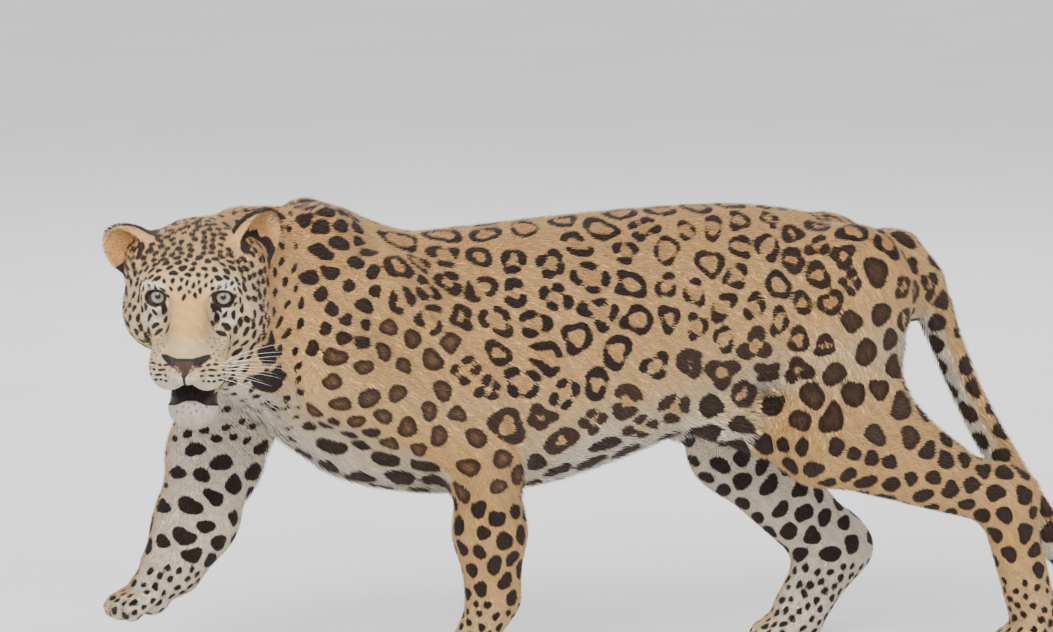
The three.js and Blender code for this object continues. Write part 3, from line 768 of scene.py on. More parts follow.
class Markings:
    """The rings and spots of the coat, scattered once over the skin and read anywhere on it."""

    NEAREST = 6
    ROUNDS = 8  # in which the spots push each other apart
    FLANK = Zone(48, 23, 1.0, 9.5, 0.0, 1.2, 1.0)
    FORE_FLANK = Zone(42, 19.5, 1.1, 8.5, 0.1, 1.1, 0.9)
    HIND_FLANK = Zone(47, 22, 0.74, 9.0, 0.05, 0.8, 0.6)
    SPINE = Zone(46, 22, 1.15, 8.5, 0.0, 1.2, 0.3)
    LOWER = Zone(47, 21.5, 1.15, 13.0, 0.25, 1.15, 0.7, 0.7)
    RUMP = Zone(41, 19.5, 0.95, 10.5, 0.15, 0.95, 0.3, 0.7)
    BELLY = Zone(42, 17, 1.3, 0.0, 0.2, 1.25)
    SHOULDER = Zone(36, 13.5, 1.1, 0.0, 0.8, 1.1)
    WITHERS = Zone(27, 10.5, 1.05, 0.0, 0.2, 1.0)
    HUMP = Zone(25, 11.5, 1.2, 0.0, 0.1, 1.15)
    NECK = Zone(25, 9.6, 0.44, 0.0, 0.0, 0.7)
    CHEST = Zone(26, 9.5, 0.55, 0.0, 0.0, 0.7)
    THIGH = Zone(40, 17, 1.1, 0.0, 0.5, 1.1)
    SHANK = Zone(31, 12.5, 1.1, 0.0, 0.15, 1.05)
    FOREARM = Zone(29, 11.5, 1.15, 0.0, 0.05, 1.1)
    INNER = Zone(36, 15.5, 0.72, 0.0, 0.0, 0.85)
    FOOT = Zone(16, 5.5, 1.1, 0.0, 0.0, 1.0)
    TAIL = Zone(34, 13.5, 1.1, 0.0, 0.3, 1.0)
    TAIL_END = Zone(36, 17, 0.9, 0.0, 0.0, 1.0)
    FOREHEAD = Zone(8.8, 3.4, 1.5, 0.0, 0.0, 1.2)
    CROWN = Zone(12.5, 6.2, 0.75, 0.0, 0.0, 0.85)
    BROW = Zone(13.5, 7.4, 0.5, 0.0, 0.0, 0.72)
    CHEEK = Zone(16.5, 8.8, 0.42, 0.0, 0.0, 0.68)
    MUZZLE = Zone(8.5, 1.5, 1.4)
    NONE = Zone(16.0, -8.0)

    def __init__(self, body: Body, lie: Lie, places: Points, normals: Points) -> None:
        """Scatters the spots over the skin.

        Args:
            body: The animal's shape.
            lie: The lie of its coat.
            places: Places all over the skin, in the frame of the joints.
            normals: Directions out of the skin there.
        """
        self.body, self.lie = body, lie
        rng = np.random.default_rng(SEED)
        flow, part = lie.flow(places, normals)
        names, table = self.zones(places, part, normals)
        gaps = np.array([z.gap for z in table])[names]
        spaced = np.array([z.spaced for z in table])[names]
        kept = self.scatter(places, normals, flow, gaps, spaced, rng)
        chosen = [table[name] for name in names[kept]]
        self.at, self.normal = places[kept], normals[kept]
        turn = rng.normal(0, 0.18, len(kept))[:, None]
        across = np.cross(self.normal, flow[kept])
        self.along = unit(flow[kept] * np.cos(turn) + across * np.sin(turn))
        self.across = np.cross(self.normal, self.along)
        size = rng.uniform(0.84, 1.12, len(kept))
        self.radius = np.array([z.radius for z in chosen]) * size
        self.stretch = np.array([z.stretch for z in chosen]) * rng.uniform(0.88, 1.14, len(kept))
        self.stroke = np.array([z.stroke for z in chosen]) * rng.uniform(0.85, 1.2, len(kept))
        self.umber = np.array([z.umber for z in chosen])
        self.lane = np.array([z.gap for z in chosen]) * rng.uniform(0.12, 0.2, len(kept))
        self.phase = rng.uniform(0, 2 * math.pi, (len(kept), 5))
        self.breaks = rng.integers(2, 5, len(kept))
        open_rings = np.array([z.open for z in chosen])
        self.broken = np.maximum(0, rng.uniform(-0.3, 1.3, len(kept))) * open_rings
        self.heart = np.array([z.heart for z in chosen])
        self.tree = self.grown_tree(self.at)
        log.info("markings: %d spots", len(kept))

    def grown_tree(self, places: Points) -> KDTree:
        """A tree that finds the nearest of some places."""
        tree = KDTree(len(places))
        for i, place in enumerate(places):
            tree.insert(place, i)
        tree.balance()
        return tree

    def scatter(
        self,
        places: Points,
        normals: Points,
        flow: Points,
        gaps: Values,
        spaced: Values,
        rng: np.random.Generator,
    ) -> Values:
        """Chooses where the spots stand: thrown at random, then pushed evenly apart.

        Args:
            places: Places all over the skin.
            normals: Directions out of the skin there.
            flow: The lie of the coat there.
            gaps: How far apart the spots stand there, across the lie.
            spaced: How much further apart along the lie.
            rng: The source of chance.

        Returns:
            The numbers of the chosen places.
        """
        kept = []
        at, reach = np.zeros((0, 3)), np.zeros(0)
        for i in rng.permutation(len(places))[:70000]:
            d = at - places[i]
            along = d @ flow[i]
            far = np.sqrt(np.maximum((d**2).sum(1) - along**2, 0) + (along / spaced[i]) ** 2)
            if (far < (reach + gaps[i]) * 0.41).any():
                continue
            kept.append(i)
            at, reach = np.vstack([at, places[i]]), np.append(reach, gaps[i])
        kept = np.array(kept)
        whole = self.grown_tree(places)
        for _ in range(self.ROUNDS):
            near = self.grown_tree(places[kept])
            found = np.array([[k for _, k, _ in near.find_n(places[i], 7)] for i in kept])
            push = np.zeros((len(kept), 3))
            for n in range(1, 7):
                other = kept[found[:, n]]
                d = places[kept] - places[other]
                along = (d * flow[kept]).sum(1)
                far = np.sqrt(np.maximum((d**2).sum(1) - along**2, 0) + (along / spaced[kept]) ** 2)
                rest = (gaps[kept] + gaps[other]) / 2
                same = (normals[kept] * normals[other]).sum(1) > 0
                share = np.clip(1.05 - far / rest, 0, 0.6) * same
                push += 0.45 * share[:, None] * rest[:, None] * unit(d)
            kept = np.unique([whole.find(q)[1] for q in places[kept] + push])
        return kept

    def zones(self, p: Points, part: Values, normal: Points) -> tuple[Values, list[Zone]]:
        """Which zone each place lies in.

        Args:
            p: Places in the frame of the joints.
            part: The number of the part of each.
            normal: Directions out of the skin there.

        Returns:
            For each place an index into the list of zones, and that list.
        """
        out = np.zeros(len(p), int)
        up = self.body.trunk.height(p)
        x, z = p[:, 0], p[:, 2]
        h = self.body.head.local(p)
        f, side, u = h[:, 0], np.abs(h[:, 1]), h[:, 2]
        seen = self.body.head.height_seen(h)
        trunk = part == Part.TRUNK.value
        head = part == Part.HEAD.value
        tail = part == Part.TAIL.value
        share, _ = self.body.tail.nearest(p)
        fore_left, fore_right = part == Part.FORELEG_LEFT.value, part == Part.FORELEG_RIGHT.value
        hind_left, hind_right = part == Part.HIND_LEG_LEFT.value, part == Part.HIND_LEG_RIGHT.value
        fore, hind = fore_left | fore_right, hind_left | hind_right
        inward = np.where(fore_left | hind_left, normal[:, 1], -normal[:, 1]) > 0.2
        ear = np.minimum(self.body.head.left_ear.distance(h), self.body.head.right_ear.distance(h)) < 4
        rules = [
            (trunk, self.FLANK),
            (trunk & (x < -95), self.FORE_FLANK),
            (trunk & (x > 120), self.HIND_FLANK),
            (trunk & (up < -0.22), self.LOWER),
            (trunk & (x > 290), self.RUMP),
            (trunk & (up > 0.86) & (x > -280), self.SPINE),
            (trunk & (x < -165) & (up < 0.35), self.SHOULDER),
            (trunk & (x < -280), self.WITHERS),
            (trunk & (up < -0.66), self.BELLY),
            (trunk & (x < -290) & (up >= 0.6), self.HUMP),
            (trunk & (x < -372) & (z > 330), self.NECK),
            (trunk & (x < -372) & (z <= 330), self.CHEST),
            (fore & (z > 240), self.SHOULDER),
            (fore_right & (z > 240), self.CHEST),
            (fore & (z <= 240), self.FOREARM),
            (hind & (z > 300), self.THIGH),
            (hind & (z <= 300), self.SHANK),
            ((fore | hind) & inward & (z < 300), self.INNER),
            (fore & (z <= 95), self.FOOT),
            (hind & (z <= 95), self.FOOT),
            (fore_right & (z <= 140), self.FOOT),
            (tail, self.TAIL),
            (tail & (share > 0.55), self.TAIL_END),
            (head, self.CHEEK),
            (head & (u > 22) & (side < 62), self.FOREHEAD),
            (head & (seen > 22) & (u > 40), self.CROWN),
            (head & (seen > 14) & (side > 34), self.BROW),
            (head & (f > 82), self.MUZZLE),
            (head & (side < 27) & (seen < -7), self.NONE),
            (head & (f > 72) & (seen < -89), self.NONE),
            (head & (f > 60) & (side < 21) & (seen < -147) & (seen > -163), self.MUZZLE),
            (ear, self.NONE),
        ]
        table = [zone for _, zone in rules]
        for i, (chosen, _) in enumerate(rules):
            out[chosen] = i
        return out, table

    def ink(self, p: Points, normal: Points) -> tuple[Values, Values, Values]:
        """Reads the scattered spots.

        Args:
            p: Places in the frame of the joints.
            normal: Directions out of the skin there.

        Returns:
            How far inside a spot's edge each place lies in millimetres, how much deeper the
            ground is there inside a ring, and how brown the ink is.
        """
        found = np.array([[i for _, i, _ in self.tree.find_n(q, self.NEAREST)] for q in p])
        inside = np.full((len(p), self.NEAREST), -30.0)
        angle = np.zeros_like(inside)
        for n in range(self.NEAREST):
            k = found[:, n]
            d = p - self.at[k]
            a = (d * self.along[k]).sum(1) / self.stretch[k]
            b = (d * self.across[k]).sum(1)
            angle[:, n], r = np.arctan2(b, a), np.hypot(a, b)
            w = self.phase[k]
            edge = 1 + 0.10 * np.cos(2 * angle[:, n] + w[:, 0]) + 0.08 * np.cos(3 * angle[:, n] + w[:, 1])
            lumps = 0.07 - 0.02 * (self.stroke[k] > 0)
            edge = self.radius[k] * (edge - lumps * np.cos(self.breaks[k] * angle[:, n] + w[:, 4]))
            facing = (normal * self.normal[k]).sum(1) > 0.1
            inside[:, n] = np.where(facing, edge - r, -30.0)
        order = np.argsort(-inside, axis=1)[:, :2]
        rows = np.arange(len(p))
        k, angle = found[rows, order[:, 0]], angle[rows, order[:, 0]]
        best, second = inside[rows, order[:, 0]], inside[rows, order[:, 1]]
        apart = (best - second) / 2 - self.lane[k] / 2
        value = np.where(best > -25, join(best, apart, 3.0), -30.0)
        w, stroke = self.phase[k], self.stroke[k]
        beat = np.cos(self.breaks[k] * angle + w[:, 4])
        half = 0.5 * stroke * (1.0 - 0.22 * beat + 0.16 * np.cos(3 * angle + w[:, 3]))
        cut = ramp(beat, 0.8, 1.0)
        ring = half - stroke * self.broken[k] * cut - np.abs(value - stroke / 2)
        is_ring = stroke > 0
        inner = self.heart[k] * ramp(value - stroke, -2, 2) * is_ring
        centre = ramp(value, 0.18 * self.radius[k], 0.65 * self.radius[k])
        umber = self.umber[k] * np.where(is_ring, 1, 0.25 + 0.75 * centre)
        return np.where(is_ring, ring, value), inner, umber

    def ground(self, p: Points, normal: Points, part: Values) -> Values:
        """How tawny the ground is: 0 white, 1 tawny, above that deeper.

        Args:
            p: Places in the frame of the joints.
            normal: Directions out of the skin there.
            part: The number of the part of each.

        Returns:
            One value for each place.
        """
        body = self.body
        up = body.trunk.height(p)
        waver = 0.08 * np.sin(p[:, 0] / 31) + 0.06 * np.sin(p[:, 0] / 13 + p[:, 1] / 17)
        below = ramp(-up + waver, 0.3, 0.95) * ramp(-normal[:, 2], -0.2, 0.35)
        gold = (0.62 + 0.38 * ramp(up, -0.7, 0.1)) * (1 - below) + 0.25 * ramp(up, 0.3, 1.0)
        front = ramp(-p[:, 0], 380, 450) * ramp(-normal[:, 0] - 0.6 * normal[:, 2], 0.1, 0.75)
        gold *= 1 - front
        for leg, sign in (
            (Part.FORELEG_LEFT, -1), (Part.HIND_LEG_LEFT, -1),
            (Part.FORELEG_RIGHT, 1), (Part.HIND_LEG_RIGHT, 1),
        ):
            chosen = part == leg.value
            outer = ramp(sign * normal[chosen, 1], -0.55, 0.2)
            low = 1 - 0.3 * ramp(-p[chosen, 2], -150, -40)
            high = ramp(p[chosen, 2], 300, 420)
            gold[chosen] = gold[chosen] * high * outer + (1 - high) * (0.1 + 0.95 * outer) * low
        chosen = part == Part.TAIL.value
        _, aim = body.tail.nearest(p[chosen])
        top = -(normal[chosen] * np.cross(aim, vec(0, 1, 0))).sum(1)
        gold[chosen] = 0.05 + 0.95 * ramp(-top, -0.55, 0.2)
        h = body.head.local(p)
        f, side, u = h[:, 0], np.abs(h[:, 1]), h[:, 2]
        seen = body.head.height_seen(h)
        face = 0.5 + 0.45 * ramp(seen, 5, 60) + 0.3 * ramp(-f, -10, 40) * ramp(u, -20, 30)
        bridge = ramp(-side, -30, -20) * ramp(seen, -78, -52) * ramp(-seen, -30, 10)
        face = np.maximum(face, 0.95 * bridge)
        above = np.hypot((side - 50) / 19, (seen - 10) / 8)
        under = np.hypot((side - 46) / 18, (seen + 31) / 13)
        face *= 1 - 0.8 * ramp(-np.minimum(above, under), -1.25, -0.75)
        lips = ramp(f, 90, 110) * ramp(-seen, 92, 118)
        chin = ramp(-seen, 125, 150) * ramp(f, -30, 20)
        face *= (1 - 0.7 * lips) * (1 - chin)
        for ear in (body.head.left_ear, body.head.right_ear):
            hollow = (ear.distance(h) < 5) & (ear.cup(ear.local(h)) < 3)
            face = np.where(hollow, 1.5, face)
        chosen = part == Part.HEAD.value
        gold[chosen] = face[chosen]
        return gold

    def face(self, p: Points) -> tuple[Values, Values]:
        """The dark lines of the face, painted shade in mouth, nostrils and ear cups, and its bare skin.

        Args:
            p: Places in the frame of the joints.

        Returns:
            How far inside a dark mark, painted shade included, each place lies in millimetres, and how bare
            it is.
        """
        head = self.body.head
        h = head.local(p)
        m = head.mirrored(h)
        f, side, u = m.T
        seen = head.height_seen(h)
        near = np.linalg.norm(h - vec(60, 0, -20), axis=1) < 150
        slit = head.slit(m)
        rim = np.where(np.linalg.norm(m - head.eye, axis=1) < 40, 1.7 - slit, -30)
        tear = np.maximum(
            -bar(m, (64, 35, 24), 5.0, (69, 30.5, 10), 2.8),
            -bar(m, (69, 30.5, 10), 2.8, (78, 29.5, -10), 0.9),
        )
        corner = -bar(m, (52, 58, 33), 2.8, (40, 71, 28), 0.9)
        dark = np.max([rim, tear, corner], axis=0)
        nose, line = self.nose(f, side, seen)
        # black lips, and painted shade in the open mouth's gap
        mouth = self.lips_and_mouth_shade(f, side, seen, u)
        rows = self.whisker_rows(f, h[:, 1], seen)
        dark = np.max([dark, line, mouth, rows], axis=0)
        dark = np.maximum(np.where(near, dark, -30), self.ears(h))
        bare = np.maximum(ramp(nose, -1, 1), ramp(np.minimum(rim, 1.5 - slit), 0, 2))
        # the mouth's black lips and its painted shade count as bare skin
        bare = np.maximum(bare, ramp(mouth, 1.5, 3.5))
        return dark, np.where(near, bare, 0)

    def nose(self, f: Values, side: Values, seen: Values) -> tuple[Values, Values]:
        """The leather of the nose with painted shade in the nostrils at its ends, and the dark line round
        it and down to the mouth.
        """
        top = -87.5 + 4.5 * ramp(side, 12, 29)
        low = np.interp(side, (0, 7, 14, 21, 28, 32), (-115, -105, -98.5, -94, -89, -84))
        leather = np.where(f > 112, np.minimum(np.minimum(top - seen, seen - low), 31 - side), -30)
        edge = 1.9 - np.abs(leather - 1.2)
        # dark outer ends of the leather: the nostril wings, with painted shade in the nostrils
        ends = np.minimum(leather + 1.5, side - 12)
        groove = np.where(f > 75, np.minimum(1.9 - side, np.minimum(seen + 131, -109 - seen)), -30)
        return leather, np.max([edge, ends, groove], axis=0)

    def lips_and_mouth_shade(self, f: Values, side: Values, seen: Values, u: Values) -> Values:
        """The black lips, and painted shade in the gap of the mouth between the upper lips and the chin."""
        top = -126 - 9 * ramp(side, 1, 12) + 9 * ramp(side, 24, 36)
        low = -143 - 6 * ramp(side, 4, 22)
        band = np.minimum(np.minimum(top - seen, seen - low), 37.5 - side)
        # painted shade inside the hollow of the mouth
        slot = 5.5 - np.maximum(lump(np.column_stack((f, side, u)), *self.body.head.mouth), 0)
        band = np.maximum(band, np.where(f > 100, -30, slot))
        return np.where((f > 50) & (u < -66), band, -30)

    def whisker_rows(self, f: Values, left: Values, seen: Values) -> Values:
        """Four broken dark lines on each pad, from which the whiskers grow."""
        rows = np.full(len(f), -30.0)
        side = np.abs(left)
        for row in range(4):
            line = -96.5 - 6.8 * row + 0.10 * (side - 20) + 0.9 * np.sin(left * 0.23 + row)
            beat = np.sin(left * (0.5 + 0.07 * row) + 1.6 * np.sin(left * 0.19 + 2.1 * row))
            dash = np.minimum(1.4 + 0.5 * beat - np.abs(seen - line), 2.4 * beat + 1.4)
            ends = np.minimum(side - 17 - 1.5 * row, 49 - side)
            rows = np.maximum(rows, np.minimum(dash, ends))
        return np.where(f > 84, rows, -30)

    def ears(self, h: Points) -> Values:
        """The black backs of the ears, and painted shade in the depth of their cups."""
        dark = np.full(len(h), -30.0)
        for ear in (self.body.head.left_ear, self.body.head.right_ear):
            q = ear.local(h)
            cup = ear.cup(q)
            back = np.min([cup - 6, -q[:, 1], q[:, 2] - 2], axis=0)
            light = 9 - np.hypot(q[:, 0], q[:, 2] - 22)
            back = np.minimum(back, -light)
            # painted shade: the deep part of each cup, near its root, is inked dark
            deep = np.minimum(4 - cup, 15 - q[:, 2] + 3 * np.sin(q[:, 0] / 3))
            dark = np.maximum(dark, np.where(ear.distance(h) < 6, np.maximum(back, deep), -30))
        return dark

    def neck_blots(self, p: Points) -> Values:
        """The large black blots on the side of the neck behind the cheek."""
        waver = 3.5 * np.sin(p[:, 0] / 8 + p[:, 2] / 6) + 1.5 * np.sin(p[:, 0] / 3 - p[:, 2] / 4)
        high = -lump(p, (-424, -118, 450), (15, 22, 18))
        low = -lump(p, (-422, -108, 409), (24, 26, 18))
        return np.maximum(high, low) + waver

    def paint(self, p: Points, normal: Points) -> dict[str, Values]:
        """Everything that the coat's colour needs at each place.

        Args:
            p: Places in the frame of the joints.
            normal: Directions out of the skin there.

        Returns:
            Named values: ink, gold, umber and bare.
        """
        _, part = self.lie.flow(p, normal)
        ink, inner, umber = self.ink(p, normal)
        gold = self.ground(p, normal, part) + inner
        dark, bare = self.face(p)
        dark = np.maximum(dark, self.neck_blots(p))
        umber = np.where(dark > ink, 0, umber)
        soles = ramp(-p[:, 2], 5, 9) * ramp(-normal[:, 2], 0.5, 0.8)
        return {
            "ink": np.clip(np.maximum(ink, dark), -12, 12),
            "gold": np.clip(gold, 0, 1.6),
            "umber": umber,
            "bare": np.maximum(bare, soles),
        }


Colour = tuple[float, float, float, float]


def shade(red: float, green: float, blue: float) -> Colour:
    """A colour given as it looks on a screen, from 0 to 255, turned to what a shader takes."""
    parts = (c / 255 for c in (red, green, blue))
    return (*(c / 12.92 if c < 0.04 else ((c + 0.055) / 1.055) ** 2.4 for c in parts), 1.0)


class Recipe:
    """A material under construction, node by node."""

    def __init__(self, name: str) -> None:
        """Starts a material with one main shader."""
        self.material = bpy.data.materials.new(name)
        self.material.use_nodes = True
        self.tree = self.material.node_tree
        self.shader = self.tree.nodes["Principled BSDF"]

    def socket(self, target: bpy.types.NodeSocket, value: object) -> None:
        """Sets a socket to a value, or links it where the value is another node's socket."""
        if isinstance(value, bpy.types.NodeSocket):
            self.tree.links.new(value, target)
        else:
            target.default_value = value

    def finish(self, **values: object) -> bpy.types.Material:
        """Sets the main shader's sockets by name, with _ for a space, and gives the material."""
        for name, value in values.items():
            self.socket(self.shader.inputs[name.replace("_", " ")], value)
        return self.material

    def attribute(self, name: str) -> bpy.types.NodeSocket:
        """The value of a named attribute of the mesh."""
        node = self.tree.nodes.new("ShaderNodeAttribute")
        node.attribute_name = name
        return node.outputs["Fac"]

    def math(self, kind: str, *values: object) -> bpy.types.NodeSocket:
        """A sum of one kind over sockets and numbers."""
        node = self.tree.nodes.new("ShaderNodeMath")
        node.operation = kind
        for i, value in enumerate(values):
            self.socket(node.inputs[i], value)
        return node.outputs[0]

    def between(self, value: object, low: float, high: float) -> bpy.types.NodeSocket:
        """A smooth step from 0 at low to 1 at high."""
        node = self.tree.nodes.new("ShaderNodeMapRange")
        node.interpolation_type = "SMOOTHSTEP"
        self.socket(node.inputs["Value"], value)
        node.inputs["From Min"].default_value = low
        node.inputs["From Max"].default_value = high
        return node.outputs["Result"]

    def mix(self, share: object, first: object, second: object, kind: str = "MIX") -> bpy.types.NodeSocket:
        """Mixes two colours."""
        node = self.tree.nodes.new("ShaderNodeMix")
        node.data_type = "RGBA"
        node.blend_type = kind
        self.socket(node.inputs["Factor"], share)
        colours = [s for s in node.inputs if s.type == "RGBA"]
        self.socket(colours[0], first)
        self.socket(colours[1], second)
        return [s for s in node.outputs if s.type == "RGBA"][0]

    def ladder(self, value: object, stops: list[tuple[float, Colour]]) -> bpy.types.NodeSocket:
        """A colour that runs through stops as the value rises."""
        node = self.tree.nodes.new("ShaderNodeValToRGB")
        self.socket(node.inputs["Fac"], value)
        steps = node.color_ramp.elements
        while len(steps) < len(stops):
            steps.new(0.5)
        for step, (place, colour) in zip(steps, stops):
            step.position = place
            step.color = colour
        return node.outputs["Color"]

    def coordinates(self, uv: str = "") -> bpy.types.NodeSocket:
        """Places on the piece itself, or on its named UV map."""
        if uv:
            node = self.tree.nodes.new("ShaderNodeUVMap")
            node.uv_map = uv
            return node.outputs["UV"]
        return self.tree.nodes.new("ShaderNodeTexCoord").outputs["Object"]

    def noise(self, place: object, stretch: tuple, detail: float = 3.0) -> bpy.types.NodeSocket:
        """Noise whose grain is stretched along the axes."""
        mapping = self.tree.nodes.new("ShaderNodeMapping")
        self.socket(mapping.inputs["Vector"], place)
        mapping.inputs["Scale"].default_value = stretch
        node = self.tree.nodes.new("ShaderNodeTexNoise")
        self.socket(node.inputs["Vector"], mapping.outputs["Vector"])
        node.inputs["Scale"].default_value = 1.0
        node.inputs["Detail"].default_value = detail
        return node.outputs["Fac"]

    def bump(
        self, height: object, depth: float, strength: float = 1.0, under: object = None
    ) -> bpy.types.NodeSocket:
        """Raises the surface by a height."""
        node = self.tree.nodes.new("ShaderNodeBump")
        node.inputs["Strength"].default_value = strength
        node.inputs["Distance"].default_value = depth
        self.socket(node.inputs["Height"], height)
        if under is not None:
            self.socket(node.inputs["Normal"], under)
        return node.outputs["Normal"]


@dataclass(frozen=True)
class CoatColours:
    """The colours of the coat, as they look on a screen."""

    white: Colour = shade(236, 228, 212)
    pale: Colour = shade(232, 202, 154)
    tawny: Colour = shade(232, 182, 110)
    deep: Colour = shade(204, 142, 72)
    ink: Colour = shade(40, 22, 12)
    brown: Colour = shade(92, 62, 38)
    tan: Colour = shade(150, 112, 66)
    light: Colour = shade(246, 228, 192)
    nose: Colour = shade(66, 38, 32)
    # black of lips, eye rims and nose edges, also used for the painted shade in the mouth's gap and the
    # nostrils
    lip: Colour = shade(24, 15, 14)

    def ground(self, recipe: Recipe, gold: object) -> bpy.types.NodeSocket:
        """The ground between the markings, from white to deep tawny."""
        stops = [(0.0, self.white), (0.3, self.pale), (0.62, self.tawny), (1.0, self.deep)]
        return recipe.ladder(recipe.math("DIVIDE", gold, 1.6), stops)

    def marked(
        self, recipe: Recipe, edge: float, blotch: object, light: object = 0.0
    ) -> bpy.types.NodeSocket:
        """Ground and markings together.

        Args:
            recipe: The material under construction.
            edge: Half the width of a spot's edge, in millimetres.
            blotch: A slow noise that varies the ground.
            light: How far the ground is lightened.

        Returns:
            The colour's socket.
        """
        gold = recipe.math("ADD", recipe.attribute("gold"), recipe.math("MULTIPLY_ADD", blotch, 0.3, -0.15))
        ground = recipe.mix(light, self.ground(recipe, gold), self.light)
        browns = [(0.0, self.ink), (0.55, self.brown), (1.0, self.tan)]
        ink = recipe.ladder(recipe.attribute("umber"), browns)
        return recipe.mix(recipe.between(recipe.attribute("ink"), -edge, edge), ground, ink)


class SkinFinish:
    """Short flat fur drawn as colour and bump, and the bare skin of nose, lips and soles, with painted
    shade in mouth and nostrils.
    """

    def __init__(self, colours: CoatColours) -> None:
        """Builds the material."""
        recipe = Recipe("short_fur_and_skin")
        object_place = recipe.coordinates()
        blotch = recipe.noise(object_place, (14, 14, 14), 2)
        lie = recipe.coordinates("Lie")
        hair = recipe.noise(lie, (900, 90, 1), 3)
        clump = recipe.noise(lie, (260, 45, 1), 2)
        marked = colours.marked(recipe, 1.4, blotch)
        dusk = recipe.between(hair, 0.2, 0.75)
        lights = recipe.ladder(dusk, [(0, shade(110, 96, 80)), (1, shade(255, 250, 240))])
        lit = recipe.mix(0.35, marked, lights, "MULTIPLY")
        pores = recipe.noise(object_place, (900, 900, 900), 3)
        # bare skin: nose leather, turning black where ink is high, which also gives the painted shade of
        # mouth and nostrils
        leather = recipe.mix(recipe.between(recipe.attribute("ink"), -1, 1), colours.nose, colours.lip)
        colour = recipe.mix(recipe.attribute("bare"), lit, leather)
        grain = recipe.bump(pores, 0.0004, 0.35)
        normal = recipe.bump(recipe.math("MULTIPLY_ADD", clump, 1.4, hair), 0.0012, 0.55, grain)
        rough = recipe.math("MULTIPLY_ADD", recipe.attribute("bare"), -0.38, 0.8)
        self.material = recipe.finish(
            Base_Color=colour, Roughness=rough, Normal=normal, Specular_IOR_Level=0.3, Sheen_Weight=0.12
        )


class CoatFinish:
    """Tufts of hair in the skin's own colours, a little lighter at their tips."""

    def __init__(self, colours: CoatColours) -> None:
        """Builds the material."""
        recipe = Recipe("coat_tufts")
        blotch = recipe.noise(recipe.coordinates(), (14, 14, 14), 2)
        light = recipe.math("MULTIPLY", recipe.attribute("tip"), 0.2)
        marked = colours.marked(recipe, 0.8, blotch, light)
        tone = recipe.math("MULTIPLY_ADD", recipe.attribute("shade"), 0.13, 1.0)
        toned = recipe.tree.nodes.new("ShaderNodeVectorMath")
        toned.operation = "SCALE"
        recipe.socket(toned.inputs[0], marked)
        recipe.socket(toned.inputs["Scale"], tone)
        self.material = recipe.finish(
            Base_Color=toned.outputs[0], Roughness=0.7, Specular_IOR_Level=0.2, Sheen_Weight=0.05
        )


def made(mesh: bmesh.types.BMesh, name: str, smooth: bool = False) -> bpy.types.Mesh:
    """Ends a mesh under construction.

    Args:
        mesh: The mesh under construction, which is freed.
        name: The finished mesh's name.
        smooth: Whether its faces are shaded as one round surface.

    Returns:
        The finished mesh.
    """
    data = bpy.data.meshes.new(name)
    mesh.to_mesh(data)
    mesh.free()
    if smooth:
        data.polygons.foreach_set("use_smooth", [True] * len(data.polygons))
    return data


def new_piece(name: str, data: bpy.types.Mesh, material: bpy.types.Material) -> bpy.types.Object:
    """Puts a mesh in the scene as a piece that rides on the animal.

    Args:
        name: The piece's name.
        data: Its mesh, in place.
        material: Its finish.

    Returns:
        The piece.
    """
    piece = bpy.data.objects.new(name, data)
    bpy.context.scene.collection.objects.link(piece)
    data.materials.clear()
    data.materials.append(material)
    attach(piece, "root")
    return piece


def store(data: bpy.types.Mesh, values: dict[str, Values]) -> None:
    """Keeps named values on a mesh, one for each vertex."""
    for name, value in values.items():
        layer = data.attributes.new(name, "FLOAT", "POINT")
        layer.data.foreach_set("value", np.ascontiguousarray(value, np.float32))


